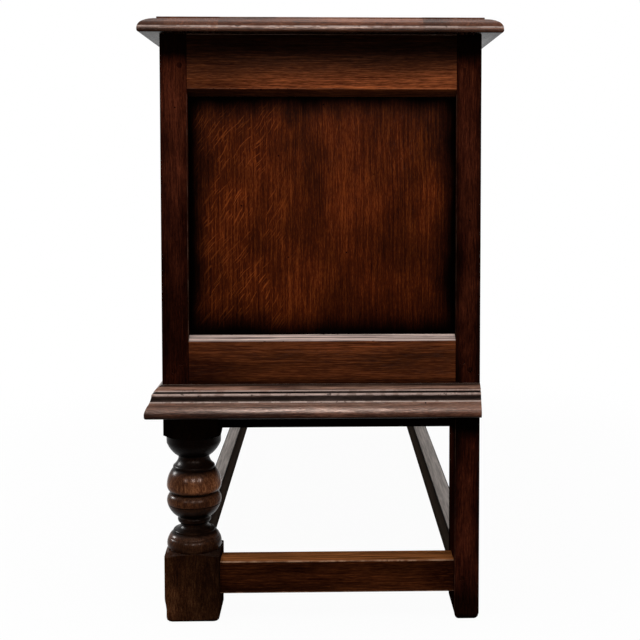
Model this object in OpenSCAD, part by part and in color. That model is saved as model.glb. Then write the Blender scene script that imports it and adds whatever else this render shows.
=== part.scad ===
// Framed and panelled oak blanket chest on a stand with turned front legs.
// Frame: X along the length, Y from front (-) to back (+), Z up.
// The origin is on the floor, under the middle of the lid.

/* [Carcase] */
// Length of the carcase over the corner stiles
body_len = 1280; // [1000:10:1500]
// Depth of the carcase from front face to back face
body_depth = 412; // [380:1:480]
// Height of the carcase above the stand
carcase_h = 475.5; // [420:0.5:560]
// Width of the front corner stiles along the front
stile_w = 80; // [65:1:110]
// Thickness of the front corner stiles, front to back
stile_t = 34.5; // [32:0.5:45]
// Width of the back posts along the back
post_w = 73; // [65:1:100]
// Thickness of the back posts, front to back
post_t = 32; // [30:0.5:45]
// Thickness of the rails and muntins
rail_t = 25; // [24:0.5:30]
// Height of the top rails, with their chamfer
top_rail_h = 79; // [60:1:100]
// Height of the bottom rails, with their chamfer
bottom_rail_h = 89.5; // [75:0.5:110]
// Chamfer along the panel edge of the rails
rail_chamfer = 9.5; // [4:0.5:10.5]
// Width of the muntins between the panels
muntin_w = 70; // [50:1:100]

/* [Panels] */
// Thickness of the carcase panels
panel_t = 9; // [6:0.5:10]
// How far a panel lies behind the face of its frame
panel_sink = 11; // [10.5:0.5:12]
// Depth of the grooves that hold the panels
groove_d = 9; // [6:0.5:12]
// Room left at a panel's sides for the wood to move
panel_play = 1; // [0.5:0.1:2]
// Room at the faces of a panel in its groove
groove_gap = 0.1; // [0.05:0.05:0.3]

/* [Floor] */
// Thickness of the floor boards
floor_t = 12; // [9:0.5:18]
// Number of floor boards
floor_count = 4; // [3:1:6]
// Gap between two floor boards
floor_gap = 0.6; // [0.3:0.1:2]
// Height of the battens that carry the floor
batten_h = 16; // [12:1:25]
// Width of the battens
batten_w = 20; // [14:1:30]

/* [Stand] */
// Height of the stand
stand_h = 290; // [260:1:340]
// Side of the square blocks of the front legs
leg_sq = 72; // [70:1:90]
// Rounding of the upright corners of those blocks
leg_corner = 5; // [1:0.5:8]
// Height of the foot block of a front leg
foot_h = 91; // [80:1:110]
// Height of the top block of a front leg
leg_block_h = 48.2; // [40:0.2:60]
// Fall of the shoulder from the middle of a foot block's face to its corner
foot_shoulder = 4.5; // [1:0.5:10]
// Rise of the shoulder from the middle of a top block's face to its corner
block_shoulder = 8; // [1:0.5:12]
// Height of the aprons under the carcase
apron_h = 33.5; // [28:0.5:45]
// Thickness of the aprons
apron_t = 22; // [18:0.5:28]
// How far the aprons lie behind the faces of the legs
apron_set = 8; // [0:0.5:12]
// Height of the stretchers' undersides above the floor
stretcher_z = 35.5; // [20:0.5:40]
// Height of the stretchers
stretcher_h = 43; // [30:1:46]
// Thickness of the end stretchers
end_stretcher_t = 38; // [25:1:45]
// How far the end stretchers lie behind the end faces of the legs
end_stretcher_set = 10.5; // [2:0.5:16]
// Thickness of the front stretcher
front_stretcher_t = 23; // [18:1:35]
// How far the front stretcher lies behind the front of the legs
front_stretcher_set = 18; // [8:1:26]
// Thickness of the back stretcher
back_stretcher_t = 26; // [18:1:28]
// How far the back stretcher lies before the back of the posts
back_stretcher_set = 1; // [0:0.5:3]

/* [Base moulding] */
// Height of the base moulding
mould_h = 42.1; // [36:0.1:60]
// How far the base moulding stands out
mould_out = 21; // [16:0.1:30]
// How far the base moulding reaches below the top of the stand
mould_drop = 16.5; // [8:0.5:24]

/* [Lid] */
// Thickness of the lid
lid_t = 21.5; // [20:0.5:28]
// How far the lid stands out past the carcase all round
lid_over = 25; // [22:0.5:30]
// Width of the moulded edge of the lid
lid_edge_w = 21.8; // [12:0.2:28]
// Height of the small step at the inside of the moulded edge
lid_edge_step = 2; // [1:0.2:4]
// Width of the lid's front and back rails
lid_rail_w = 102; // [90:1:130]
// Width of the lid's end rails
lid_end_rail_w = 110; // [80:1:140]
// Width of the lid's muntins
lid_muntin_w = 90; // [60:1:120]
// Thickness of the lid's panels
lid_panel_t = 10; // [7:0.5:11]
// How far the lid's panels lie below its top
lid_panel_sink = 4; // [2:0.5:6]

/* [Joints] */
// Length of the tenons
tenon_l = 25; // [18:1:26]
// Thickness of the tenons
tenon_t = 8; // [6:0.5:9]
// Height of the shoulder above and below a tenon
shoulder = 5; // [3:0.5:8]
// Clearance round a tenon
tenon_gap = 0.1; // [0.05:0.05:0.3]
// Room at the end of a tenon
mortise_room = 1; // [0.5:0.5:3]
// Radius of the wooden pegs
peg_r = 3.5; // [2.5:0.25:4]
// Radial clearance of the pegs and screws
peg_gap = 0.05; // [0.05:0.05:0.2]
// Distance of a peg from the shoulder of its joint
peg_in = 9.5; // [7:0.5:12]
// Radius of the dowels between the front legs and the stiles
dowel_r = 8; // [6:0.5:10]
// Distance of a dowel from the end of the carcase
dowel_from_end = 30; // [28:1:34]
// Length of a dowel on either side of the joint
dowel_l = 30; // [20:1:40]

/* [Hinges] */
// Length of a hinge
hinge_l = 76; // [60:1:100]
// Distance from the end of the carcase to the middle of a hinge
hinge_from_end = 220; // [150:5:350]
// Number of knuckles of a hinge
knuckle_count = 5; // [3:2:7]
// Outer radius of the knuckles
knuckle_r = 4.5; // [4:0.1:5]
// Radius of the hinge pin
hinge_pin_r = 2; // [1.5:0.1:2.5]
// Radial running clearance of the hinge pin
hinge_pin_gap = 0.05; // [0.02:0.01:0.1]
// Distance of the hinge axis behind the back face
hinge_out = 5; // [5:0.1:6]
// Thickness of a hinge leaf
leaf_t = 2; // [1.5:0.1:2.5]
// How far a leaf reaches in from the back face
leaf_in = 21; // [16:0.5:21]
// Side gap between two knuckles
knuckle_gap = 0.4; // [0.2:0.1:0.8]
// Radius of a screw's shank
screw_r = 1.8; // [1.4:0.1:2.2]
// Radius of a screw's head
screw_head_r = 3.4; // [2.8:0.1:4]
// Length of a screw
screw_l = 16; // [10:1:17]

/* [Hidden] */

$fn = 64;
// Smallest overlap used to fuse two shapes of one piece
bite = 0.5;
// How far a cutting shape reaches past the surface that it opens
past = 1;
half_len = body_len / 2;
front_y = -body_depth / 2;
back_y = body_depth / 2;
carcase_top = stand_h + carcase_h;
lid_top = carcase_top + lid_t;
stile_x = half_len - stile_w;
stile_y = front_y + stile_t;
post_x = half_len - post_w;
post_y = back_y - post_t;
leg_x = half_len - leg_sq;
leg_y = front_y + leg_sq;
leg_mid = [half_len - leg_sq / 2, front_y + leg_sq / 2];
bottom_rail_top = stand_h + bottom_rail_h;
top_rail_z = carcase_top - top_rail_h;
apron_z = stand_h - apron_h;
stretcher_top = stretcher_z + stretcher_h;
floor_z = stand_h + batten_h;
mould_z = stand_h - mould_drop;
dark_oak = "#3a1d12";
mid_oak = "#5a2c17";
iron = "#2b2826";
peg_oak = "#2c1710";

// Points of an arc from a to b that swells by sag to the right of the way from a to b
function arc(a, b, sag, steps = 8) =
    let(
        chord = norm(b - a),
        radius = (chord * chord / 4 + sag * sag) / (2 * abs(sag)),
        along = (b - a) / chord,
        side = [along.y, -along.x] * sign(sag),
        centre = (a + b) / 2 + side * (abs(sag) - radius),
        half_turn = asin(min(1, chord / 2 / radius))
    )
    [for (i = [0:steps]) let(t = half_turn * (2 * i / steps - 1))
        centre + radius * (side * cos(t) + along * sin(t))];

module block(low, high) {
    translate(low) cube(high - low);
}

module both_ends() {
    children();
    mirror([1, 0, 0]) children();
}

module left_of() {
    mirror([1, 0, 0]) children();
}

// A box grown by a clearance on every side
module grown(box, gap) {
    block(box[0] - [gap, gap, gap], box[1] + [gap, gap, gap]);
}

// Tenon of a piece along X whose shoulder is at x, on the side of growing X
function tenon_x(x, y0, y1, z0, z1, length = tenon_l) = [
    [x - bite, (y0 + y1 - tenon_t) / 2, z0 + shoulder],
    [x + length, (y0 + y1 + tenon_t) / 2, z1 - shoulder]
];

// Tenon of a piece along Y whose shoulder is at y; way is -1 to the front or 1 to the back
function tenon_y(y, way, x0, x1, z0, z1, length) = [
    [(x0 + x1 - tenon_t) / 2, way < 0 ? y - length : y - bite, z0 + shoulder],
    [(x0 + x1 + tenon_t) / 2, way < 0 ? y + bite : y + length, z1 - shoulder]
];

// The mortise for a tenon: its box with a clearance all round and room at the end
module mortise(tenon, way) {
    grown([
        [for (i = [0:2]) tenon[0][i] + min(0, way[i]) * (mortise_room - tenon_gap)],
        [for (i = [0:2]) tenon[1][i] + max(0, way[i]) * (mortise_room - tenon_gap)]
    ], tenon_gap);
}

module tenon(box) {
    block(box[0], box[1]);
}

// Tenons at the right-hand end, each named after its piece
front_top_tenon = tenon_x(stile_x, front_y, front_y + rail_t, top_rail_z + groove_d, carcase_top);
front_bottom_tenon = tenon_x(stile_x, front_y, front_y + rail_t, stand_h, bottom_rail_top - groove_d);
back_top_tenon = tenon_x(post_x, back_y - rail_t, back_y, top_rail_z + groove_d, carcase_top);
back_bottom_tenon = tenon_x(post_x, back_y - rail_t, back_y, stand_h, bottom_rail_top - groove_d);
end_rail_x = half_len - rail_t;
function end_tenon(front, z0, z1) = front
    ? tenon_y(stile_y, -1, end_rail_x, half_len, z0, z1, tenon_l)
    : tenon_y(post_y, 1, end_rail_x, half_len, z0, z1, tenon_l);
function end_top_tenon(front) = end_tenon(front, top_rail_z + groove_d, carcase_top);
function end_bottom_tenon(front) = end_tenon(front, stand_h, bottom_rail_top - groove_d);

front_stretcher_y = front_y + front_stretcher_set;
back_stretcher_y = back_y - back_stretcher_set - back_stretcher_t;
end_stretcher_x = half_len - end_stretcher_set - end_stretcher_t;
front_stretcher_tenon = tenon_x(leg_x, front_stretcher_y, front_stretcher_y + front_stretcher_t,
    stretcher_z, stretcher_top);
back_stretcher_tenon = tenon_x(post_x, back_stretcher_y, back_stretcher_y + back_stretcher_t,
    stretcher_z, stretcher_top);
function end_stretcher_tenon(front) = tenon_y(front ? leg_y : post_y, front ? -1 : 1,
    end_stretcher_x, end_stretcher_x + end_stretcher_t, stretcher_z, stretcher_top, tenon_l);

front_apron_y = front_y + apron_set;
back_apron_y = back_y - apron_set - apron_t;
end_apron_x = half_len - apron_set - apron_t;
front_apron_tenon = tenon_x(leg_x, front_apron_y, front_apron_y + apron_t, apron_z, stand_h);
back_apron_tenon = tenon_x(post_x, back_apron_y, back_apron_y + apron_t, apron_z, stand_h);
function end_apron_tenon(front) = tenon_y(front ? leg_y : post_y, front ? -1 : 1,
    end_apron_x, end_apron_x + apron_t, apron_z, stand_h, tenon_l);

// Pegs: [distance from the shoulder, height] at the top rail and at the bottom rail
top_peg = [peg_in, top_rail_z + top_rail_h / 2];
low_peg = [peg_in, stand_h + bottom_rail_h / 2 + peg_r * 2.4];
side_peg = [peg_in * 2, stand_h + bottom_rail_h / 2 - peg_r * 0.6];
rail_pegs = [top_peg, low_peg, side_peg];
peg_l = rail_t * 0.9;
dowel_at = [half_len - dowel_from_end, front_y + stile_t / 2];
// A stretcher's peg goes in through the end face and right through the tenon
stretcher_peg_l = end_stretcher_set + end_stretcher_t * 0.75;

module peg_along_x(y, z, extra = 0, length = peg_l) {
    translate([half_len - length - extra, y, z]) rotate([0, 90, 0])
        cylinder(r = peg_r + extra, h = length + extra + (extra > 0 ? past : 0), $fn = 32);
}

module peg_along_y(x, z, front, extra = 0) {
    translate([x, front ? front_y : back_y, z]) rotate([front ? -90 : 90, 0, 0])
        translate([0, 0, extra > 0 ? -past : 0])
            cylinder(r = peg_r + extra, h = peg_l + extra + (extra > 0 ? past : 0), $fn = 32);
}

// Pegs of the end frame into the front stile and into the back post
module end_pegs(front, extra = 0) {
    for (p = rail_pegs) peg_along_x(front ? stile_y - p.x : post_y + p.x, p.y, extra);
}

// Pegs of the front or back frame into its stile or post
module face_pegs(front, extra = 0) {
    for (p = rail_pegs) peg_along_y((front ? stile_x : post_x) + p.x, p.y, front, extra);
}

module stretcher_peg(extra = 0) {
    peg_along_x(post_y + peg_in, (stretcher_z + stretcher_top) / 2, extra, stretcher_peg_l);
}

module leg_dowel(extra = 0) {
    translate([dowel_at.x, dowel_at.y, stand_h - dowel_l - extra])
        cylinder(r = dowel_r + extra, h = 2 * (dowel_l + extra), $fn = 40);
}

// Turned part of a front leg. Heights are from the foot block's top, on a turning 150.8 high
// from a 72 square, and they stretch with the two.
turning_drawn_h = 150.8;
turning_drawn_sq = 72;
turning = concat(
    [[34.4, 0]],
    arc([34.8, 1], [34, 15], 1.6),
    [[33.2, 15.7]],
    arc([33.3, 16.5], [27.2, 22.6], 0.8, 5),
    arc([27.4, 23.4], [26.6, 25.2], 0.6, 4),
    arc([25.4, 25.8], [18.2, 30.4], -1.2, 5),
    [[18.2, 33.2]],
    arc([20.8, 35.4], [21.2, 41.2], 0.9, 5),
    arc([21.8, 42.8], [34.9, 59.2], 2),
    [[34.2, 59.8]],
    arc([35.3, 60.6], [32.4, 73.4], 1.8),
    [[28.8, 75]],
    arc([32.6, 76.6], [35.9, 86.4], 1.2),
    arc([35.9, 87], [28.4, 106.2], 1.6),
    [[27.3, 106.9]],
    arc([27.6, 107.6], [25.8, 111.8], 0.8, 4),
    [[24.9, 112.5], [22.4, 115.8], [20.6, 119.6], [20.4, 122.6]],
    arc([20.8, 123.6], [35.8, 142], 2),
    [[36, 150.8]]
);

module turned_part() {
    wide = leg_sq / turning_drawn_sq;
    tall = (stand_h - leg_block_h - foot_h) / turning_drawn_h;
    outline = concat(
        [[0, -bite], [turning[0].x * wide, -bite]],
        [for (p = turning) [p.x * wide, p.y * tall]],
        [[turning[len(turning) - 1].x * wide, turning_drawn_h * tall + bite],
            [0, turning_drawn_h * tall + bite]]
    );
    translate([0, 0, foot_h]) rotate_extrude($fn = 72) polygon(outline);
}

// Outline of a square with rounded corners
function rounded_square(side, r, steps = 6) = [
    for (corner = [45:90:315], i = [0:steps]) let(t = corner - 45 + 90 * i / steps)
        (side / 2 - r) * [sign(cos(corner)), sign(sin(corner))] + r * [cos(t), sin(t)]
];

// A square block whose corners are turned to a shoulder at the end that meets the turning
module shouldered_block(z0, z1, shoulder_z, face_z) {
    corner_r = leg_sq * 0.72;
    square_end = face_z > shoulder_z ? z0 - past : z1 + past;
    intersection() {
        translate([0, 0, z0]) linear_extrude(height = z1 - z0) polygon(rounded_square(leg_sq, leg_corner));
        rotate_extrude($fn = 72) polygon([
            [0, square_end], [corner_r, square_end], [corner_r, shoulder_z],
            [leg_sq / 2, face_z], [0, face_z]
        ]);
    }
}

module front_leg() {
    block_z = stand_h - leg_block_h;
    color(dark_oak) difference() {
        translate([leg_mid.x, leg_mid.y, 0]) union() {
            shouldered_block(0, foot_h, foot_h - foot_shoulder, foot_h);
            turned_part();
            shouldered_block(block_z, stand_h, block_z + block_shoulder, block_z);
        }
        mortise(front_stretcher_tenon, [1, 0, 0]);
        mortise(end_stretcher_tenon(true), [0, -1, 0]);
        mortise(front_apron_tenon, [1, 0, 0]);
        mortise(end_apron_tenon(true), [0, -1, 0]);
        leg_dowel(peg_gap);
    }
}

// Groove for a panel that lies behind the outer face of a frame on the right-hand end
module end_groove() {
    grown([
        [half_len - panel_sink - panel_t, stile_y - groove_d, bottom_rail_top - groove_d],
        [half_len - panel_sink, post_y + groove_d, top_rail_z + groove_d]
    ], groove_gap);
}

// Grooves of the front or back frame, for one long panel field between its stiles or posts
module face_groove(front) {
    side_x = front ? stile_x : post_x;
    outer = front ? front_y + panel_sink : back_y - panel_sink - panel_t;
    grown([
        [-side_x - groove_d, outer, bottom_rail_top - groove_d],
        [side_x + groove_d, outer + panel_t, top_rail_z + groove_d]
    ], groove_gap);
}

module front_stile() {
    color(dark_oak) difference() {
        block([stile_x, front_y, stand_h], [half_len, stile_y, carcase_top]);
        mortise(front_top_tenon, [1, 0, 0]);
        mortise(front_bottom_tenon, [1, 0, 0]);
        mortise(end_top_tenon(true), [0, -1, 0]);
        mortise(end_bottom_tenon(true), [0, -1, 0]);
        end_groove();
        face_groove(true);
        end_pegs(true, peg_gap);
        face_pegs(true, peg_gap);
        leg_dowel(peg_gap);
    }
}

module back_post() {
    color(dark_oak) difference() {
        block([post_x, post_y, 0], [half_len, back_y, carcase_top]);
        mortise(back_top_tenon, [1, 0, 0]);
        mortise(back_bottom_tenon, [1, 0, 0]);
        mortise(end_top_tenon(false), [0, 1, 0]);
        mortise(end_bottom_tenon(false), [0, 1, 0]);
        mortise(back_stretcher_tenon, [1, 0, 0]);
        mortise(end_stretcher_tenon(false), [0, 1, 0]);
        mortise(back_apron_tenon, [1, 0, 0]);
        mortise(end_apron_tenon(false), [0, 1, 0]);
        end_groove();
        face_groove(false);
        end_pegs(false, peg_gap);
        face_pegs(false, peg_gap);
        stretcher_peg(peg_gap);
    }
}

// Cross sections of the rails and muntins: the first number runs in from the outer face.
// A rail's chamfer runs up to the panel, and a muntin is cut over the chamfers of both rails.
bottom_section = [
    [0, stand_h], [rail_t, stand_h], [rail_t, bottom_rail_top],
    [rail_chamfer, bottom_rail_top], [0, bottom_rail_top - rail_chamfer]
];
top_section = [
    [0, carcase_top], [rail_t, carcase_top], [rail_t, top_rail_z],
    [rail_chamfer, top_rail_z], [0, top_rail_z + rail_chamfer]
];

muntin_section = [
    [0, bottom_rail_top - rail_chamfer], [rail_chamfer, bottom_rail_top], [rail_t, bottom_rail_top],
    [rail_t, top_rail_z], [rail_chamfer, top_rail_z], [0, top_rail_z + rail_chamfer]
];

// A section of [inward, height] points drawn along X, at the front or at the back
module run_along_x(section, x0, x1, front) {
    face = front ? front_y : back_y;
    way = front ? 1 : -1;
    translate([x0, 0, 0]) rotate([90, 0, 90]) linear_extrude(height = x1 - x0)
        polygon([for (p = section) [face + way * p.x, p.y]]);
}

// The same section drawn along Y on the right-hand end
module run_along_y(section, y0, y1) {
    translate([0, y1, 0]) rotate([90, 0, 0]) linear_extrude(height = y1 - y0)
        polygon([for (p = section) [half_len - p.x, p.y]]);
}

module face_rail(section, front, joint) {
    reach = front ? stile_x : post_x;
    color(dark_oak) difference() {
        union() {
            run_along_x(section, -reach, reach, front);
            both_ends() tenon(joint);
        }
        face_groove(front);
        both_ends() face_pegs(front, peg_gap);
        both_ends() muntin_mortises(front);
        if (!front) both_ends() hinge_seat(carcase_top - leaf_t - leaf_gap, carcase_top + past);
        if (!front) both_ends() screw_holes(false);
    }
}

module end_rail(section, front_tenon, back_tenon) {
    color(dark_oak) difference() {
        union() {
            run_along_y(section, stile_y, post_y);
            tenon(front_tenon);
            tenon(back_tenon);
        }
        end_groove();
        end_pegs(true, peg_gap);
        end_pegs(false, peg_gap);
    }
}

// Places of the muntins: the three panel fields between the stiles or posts are of equal width
function field_w(front) = (2 * (front ? stile_x : post_x) - 2 * muntin_w) / 3;
function muntin_x(front) = field_w(front) / 2;

function muntin_tenon(front, top) = let(
        x = muntin_x(front) + muntin_w / 2,
        y = front ? front_y + rail_t / 2 : back_y - rail_t / 2,
        z = top ? top_rail_z : bottom_rail_top,
        reach = groove_d + tenon_l / 2
    ) [
        [x - muntin_w / 2 + groove_d + shoulder, y - tenon_t / 2, top ? z - bite : z - reach],
        [x + muntin_w / 2 - groove_d - shoulder, y + tenon_t / 2, top ? z + reach : z + bite]
    ];

module muntin_mortises(front) {
    mortise(muntin_tenon(front, true), [0, 0, 1]);
    mortise(muntin_tenon(front, false), [0, 0, -1]);
}

module muntin(front) {
    x = muntin_x(front);
    y = front ? front_y + panel_sink : back_y - panel_sink - panel_t;
    color(dark_oak) difference() {
        union() {
            run_along_x(muntin_section, x, x + muntin_w, front);
            tenon(muntin_tenon(front, true));
            tenon(muntin_tenon(front, false));
        }
        // Grooves for the panels on either side
        for (side = [-past, muntin_w - groove_d])
            grown([
                [x + side, y, bottom_rail_top - groove_d],
                [x + side + groove_d + past, y + panel_t, top_rail_z + groove_d]
            ], groove_gap);
    }
}

module face_panel(front, which) {
    w = field_w(front);
    x = which * (w + muntin_w);
    y = front ? front_y + panel_sink : back_y - panel_sink - panel_t;
    half = w / 2 + groove_d - panel_play;
    color(mid_oak)
        block([x - half, y, bottom_rail_top - groove_d - groove_gap],
            [x + half, y + panel_t, top_rail_z + groove_d - panel_play]);
}

module end_panel() {
    x = half_len - panel_sink;
    color(mid_oak) block(
        [x - panel_t, stile_y - groove_d + panel_play, bottom_rail_top - groove_d - groove_gap],
        [x, post_y + groove_d - panel_play, top_rail_z + groove_d - panel_play]);
}

module end_stretcher() {
    color(dark_oak) difference() {
        union() {
            block([end_stretcher_x, leg_y, stretcher_z],
                [end_stretcher_x + end_stretcher_t, post_y, stretcher_top]);
            tenon(end_stretcher_tenon(true));
            tenon(end_stretcher_tenon(false));
        }
        stretcher_peg(peg_gap);
    }
}

module long_stretcher(reach, y, t, joint) {
    color(dark_oak) {
        block([-reach, y, stretcher_z], [reach, y + t, stretcher_top]);
        both_ends() tenon(joint);
    }
}

module long_apron(reach, y, joint) {
    color(dark_oak) {
        block([-reach, y, apron_z], [reach, y + apron_t, stand_h]);
        both_ends() tenon(joint);
    }
}

module end_apron() {
    color(dark_oak) {
        block([end_apron_x, leg_y, apron_z], [end_apron_x + apron_t, post_y, stand_h]);
        tenon(end_apron_tenon(true));
        tenon(end_apron_tenon(false));
    }
}

// Section of the base moulding: [out from the carcase, up from its underside]
mould_section = concat(
    [[0, 0]],
    arc([mould_out - 2.8, 0], [mould_out, 3.4], 0.85, 4),
    arc([mould_out, 8], [mould_out - 3.9, mould_h - 24.1], 0.75, 7),
    arc([mould_out - 4.9, mould_h - 23.2], [mould_out - 7.1, mould_h - 19.4], -0.3, 4),
    arc([mould_out - 7.3, mould_h - 18.8], [mould_out - 8.7, mould_h - 13.5], -0.1, 3),
    arc([mould_out - 8.5, mould_h - 12.9], [mould_out - 10.3, mould_h - 9.9], 0.5, 4),
    [[mould_out - 11.3, mould_h - 9.6], [mould_out - 11.4, mould_h - 8.9]],
    arc([mould_out - 10.8, mould_h - 8.4], [0, mould_h], 0.7, 6)
);

module mould_shape() {
    polygon(mould_section);
}

module base_moulding_front() {
    color(dark_oak) intersection() {
        translate([-half_len - mould_out, front_y, mould_z]) rotate([90, 0, 90])
            linear_extrude(height = body_len + 2 * mould_out) mirror([1, 0]) mould_shape();
        // A trapezium that holds both mitres
        translate([0, 0, mould_z - past]) linear_extrude(height = mould_h + 2 * past) polygon([
            [-half_len, front_y], [half_len, front_y],
            [half_len + mould_out + past, front_y - mould_out - past],
            [-half_len - mould_out - past, front_y - mould_out - past]
        ]);
    }
}

module base_moulding_end() {
    color(dark_oak) intersection() {
        translate([half_len, back_y, mould_z]) rotate([90, 0, 0])
            linear_extrude(height = body_depth + mould_out) mould_shape();
        translate([0, 0, mould_z - past]) linear_extrude(height = mould_h + 2 * past) polygon([
            [half_len, front_y], [half_len, back_y + past],
            [half_len + mould_out + past, back_y + past],
            [half_len + mould_out + past, front_y - mould_out - past]
        ]);
    }
}

// The floor lies between the rails and is cut round the stiles and posts
module floor_boards() {
    y0 = front_y + rail_t + panel_play;
    y1 = back_y - rail_t - panel_play;
    w = (y1 - y0 - (floor_count - 1) * floor_gap) / floor_count;
    reach = end_rail_x - panel_play;
    color(mid_oak) difference() {
        for (i = [0:floor_count - 1])
            translate([0, y0 + i * (w + floor_gap), floor_z]) block([-reach, 0, 0], [reach, w, floor_t]);
        both_ends() block([stile_x - panel_play, front_y, floor_z - past],
            [half_len, stile_y + panel_play, floor_z + floor_t + past]);
        both_ends() block([post_x - panel_play, post_y - panel_play, floor_z - past],
            [half_len, back_y, floor_z + floor_t + past]);
    }
}

// Two long battens on the front and back rails and a short one on each end rail
module floor_battens() {
    color(mid_oak) {
        block([-stile_x, front_y + rail_t, stand_h], [stile_x, front_y + rail_t + batten_w, floor_z]);
        block([-post_x, back_y - rail_t - batten_w, stand_h], [post_x, back_y - rail_t, floor_z]);
        both_ends() block([end_rail_x - batten_w, stile_y, stand_h], [end_rail_x, post_y, floor_z]);
    }
}

// Two cross bearers between the long battens
module floor_bearers() {
    color(mid_oak) both_ends()
        block([muntin_x(true), front_y + rail_t + batten_w, stand_h],
            [muntin_x(true) + batten_w, back_y - rail_t - batten_w, floor_z]);
}

// Half section of the lid over a half width: thumbnail edge, small step, flat top
function lid_section(half) = let(
        nose = half + lid_over,
        rise = lid_t - lid_edge_step,
        right = concat(
            arc([nose - 2.2, 0], [nose, 3.2], 0.75, 5),
            arc([nose, 4.6], [nose - 6.7, rise - 4.6], 1.7, 7),
            arc([nose - 7.2, rise - 4.3], [nose - lid_edge_w, rise], 0.8, 7),
            [[nose - lid_edge_w, lid_t]]
        )
    )
    concat(right, [for (i = [len(right) - 1:-1:0]) [-right[i].x, right[i].y]]);

// The whole lid as one moulded board, from which each rail is taken
module lid_blank() {
    intersection() {
        translate([-half_len - lid_over, 0, carcase_top]) rotate([90, 0, 90])
            linear_extrude(height = body_len + 2 * lid_over) polygon(lid_section(body_depth / 2));
        translate([0, back_y + lid_over, carcase_top]) rotate([90, 0, 0])
            linear_extrude(height = body_depth + 2 * lid_over) polygon(lid_section(half_len));
    }
}

lid_y = back_y + lid_over - lid_rail_w;
lid_x = half_len + lid_over - lid_end_rail_w;
lid_panel_z = lid_top - lid_panel_sink - lid_panel_t;
lid_field_w = (2 * lid_x - 2 * lid_muntin_w) / 3;
lid_tenon_t = min(tenon_t, lid_t / 3);
lid_peg_l = lid_t * 0.7;

// Tenon of an end rail or a muntin of the lid; it runs into the front or the back rail
lid_mid_z = carcase_top + lid_t / 2;
function lid_tenon(x0, x1, front) = [
    [x0 + shoulder + groove_d, front ? -lid_y - tenon_l : lid_y - bite, lid_mid_z - lid_tenon_t / 2],
    [x1 - shoulder - groove_d, front ? -lid_y + bite : lid_y + tenon_l, lid_mid_z + lid_tenon_t / 2]
];
function lid_end_tenon(front) = lid_tenon(lid_x, half_len + lid_over - lid_edge_w, front);
function lid_muntin_tenon(front) = lid_tenon(lid_field_w / 2, lid_field_w / 2 + lid_muntin_w, front);

module lid_groove() {
    grown([
        [-lid_x - groove_d, -lid_y - groove_d, lid_panel_z],
        [lid_x + groove_d, lid_y + groove_d, lid_panel_z + lid_panel_t]
    ], groove_gap);
}

module lid_peg(x, front, extra = 0) {
    translate([x, (front ? -1 : 1) * (lid_y + peg_in), lid_top - lid_peg_l - extra])
        cylinder(r = peg_r + extra, h = lid_peg_l + extra + (extra > 0 ? past : 0), $fn = 32);
}

lid_peg_x = [
    lid_field_w / 2 + lid_muntin_w * 0.35, lid_field_w / 2 + lid_muntin_w * 0.65,
    lid_x + lid_end_rail_w * 0.35, lid_x + lid_end_rail_w * 0.6
];

module lid_long_rail(front) {
    side = front ? -1 : 1;
    color(dark_oak) difference() {
        intersection() {
            lid_blank();
            translate([0, side * (lid_y + lid_rail_w), 0])
                block([-half_len - 2 * lid_over, -lid_rail_w, carcase_top - past],
                    [half_len + 2 * lid_over, lid_rail_w, lid_top + past]);
        }
        lid_groove();
        both_ends() {
            mortise(lid_end_tenon(front), [0, side, 0]);
            mortise(lid_muntin_tenon(front), [0, side, 0]);
        }
        both_ends() for (x = lid_peg_x) lid_peg(x, front, peg_gap);
        if (!front) both_ends() hinge_seat(carcase_top - past, carcase_top + leaf_t + leaf_gap);
        if (!front) both_ends() knuckle_room();
        if (!front) both_ends() screw_holes(true);
    }
}

module lid_end_rail() {
    color(dark_oak) difference() {
        union() {
            intersection() {
                lid_blank();
                block([lid_x, -lid_y, carcase_top - past], [half_len + 2 * lid_over, lid_y, lid_top + past]);
            }
            tenon(lid_end_tenon(true));
            tenon(lid_end_tenon(false));
        }
        lid_groove();
        for (x = lid_peg_x, front = [true, false]) lid_peg(x, front, peg_gap);
    }
}

module lid_muntin() {
    x = lid_field_w / 2;
    color(dark_oak) difference() {
        union() {
            block([x, -lid_y, carcase_top], [x + lid_muntin_w, lid_y, lid_top]);
            tenon(lid_muntin_tenon(true));
            tenon(lid_muntin_tenon(false));
        }
        for (side = [-past, lid_muntin_w - groove_d])
            grown([
                [x + side, -lid_y - past, lid_panel_z],
                [x + side + groove_d + past, lid_y + past, lid_panel_z + lid_panel_t]
            ], groove_gap);
        for (px = lid_peg_x, front = [true, false]) lid_peg(px, front, peg_gap);
    }
}

module lid_panel(which) {
    x = which * (lid_field_w + lid_muntin_w);
    half = lid_field_w / 2 + groove_d - panel_play;
    color(mid_oak) block([x - half, -lid_y - groove_d + panel_play, lid_panel_z - groove_gap],
        [x + half, lid_y + groove_d - panel_play, lid_panel_z + lid_panel_t - groove_gap]);
}

// Hinges: leaves let into the rails, knuckles behind the back face
hinge_x = half_len - hinge_from_end;
hinge_y = back_y + hinge_out;
knuckle_l = hinge_l / knuckle_count;
leaf_gap = 0.15;
leaf_y = back_y - leaf_in;
screw_xs = [-0.34, 0, 0.34];

// Seat of a leaf in the wood, open to the back
module hinge_seat(z0, z1) {
    block([hinge_x - hinge_l / 2 - tenon_gap, leaf_y - tenon_gap, z0],
        [hinge_x + hinge_l / 2 + tenon_gap, back_y + hinge_out, z1]);
}

// Room round the knuckles in the overhang of the lid
module knuckle_room() {
    translate([hinge_x - hinge_l / 2 - knuckle_gap, hinge_y, carcase_top]) rotate([0, 90, 0])
        cylinder(r = knuckle_r + knuckle_gap * 2, h = hinge_l + 2 * knuckle_gap, $fn = 48);
}

module knuckle(i, r, gap) {
    translate([hinge_x - hinge_l / 2 + i * knuckle_l + gap / 2, hinge_y, carcase_top]) rotate([0, 90, 0])
        cylinder(r = r, h = knuckle_l - gap, $fn = 48);
}

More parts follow.
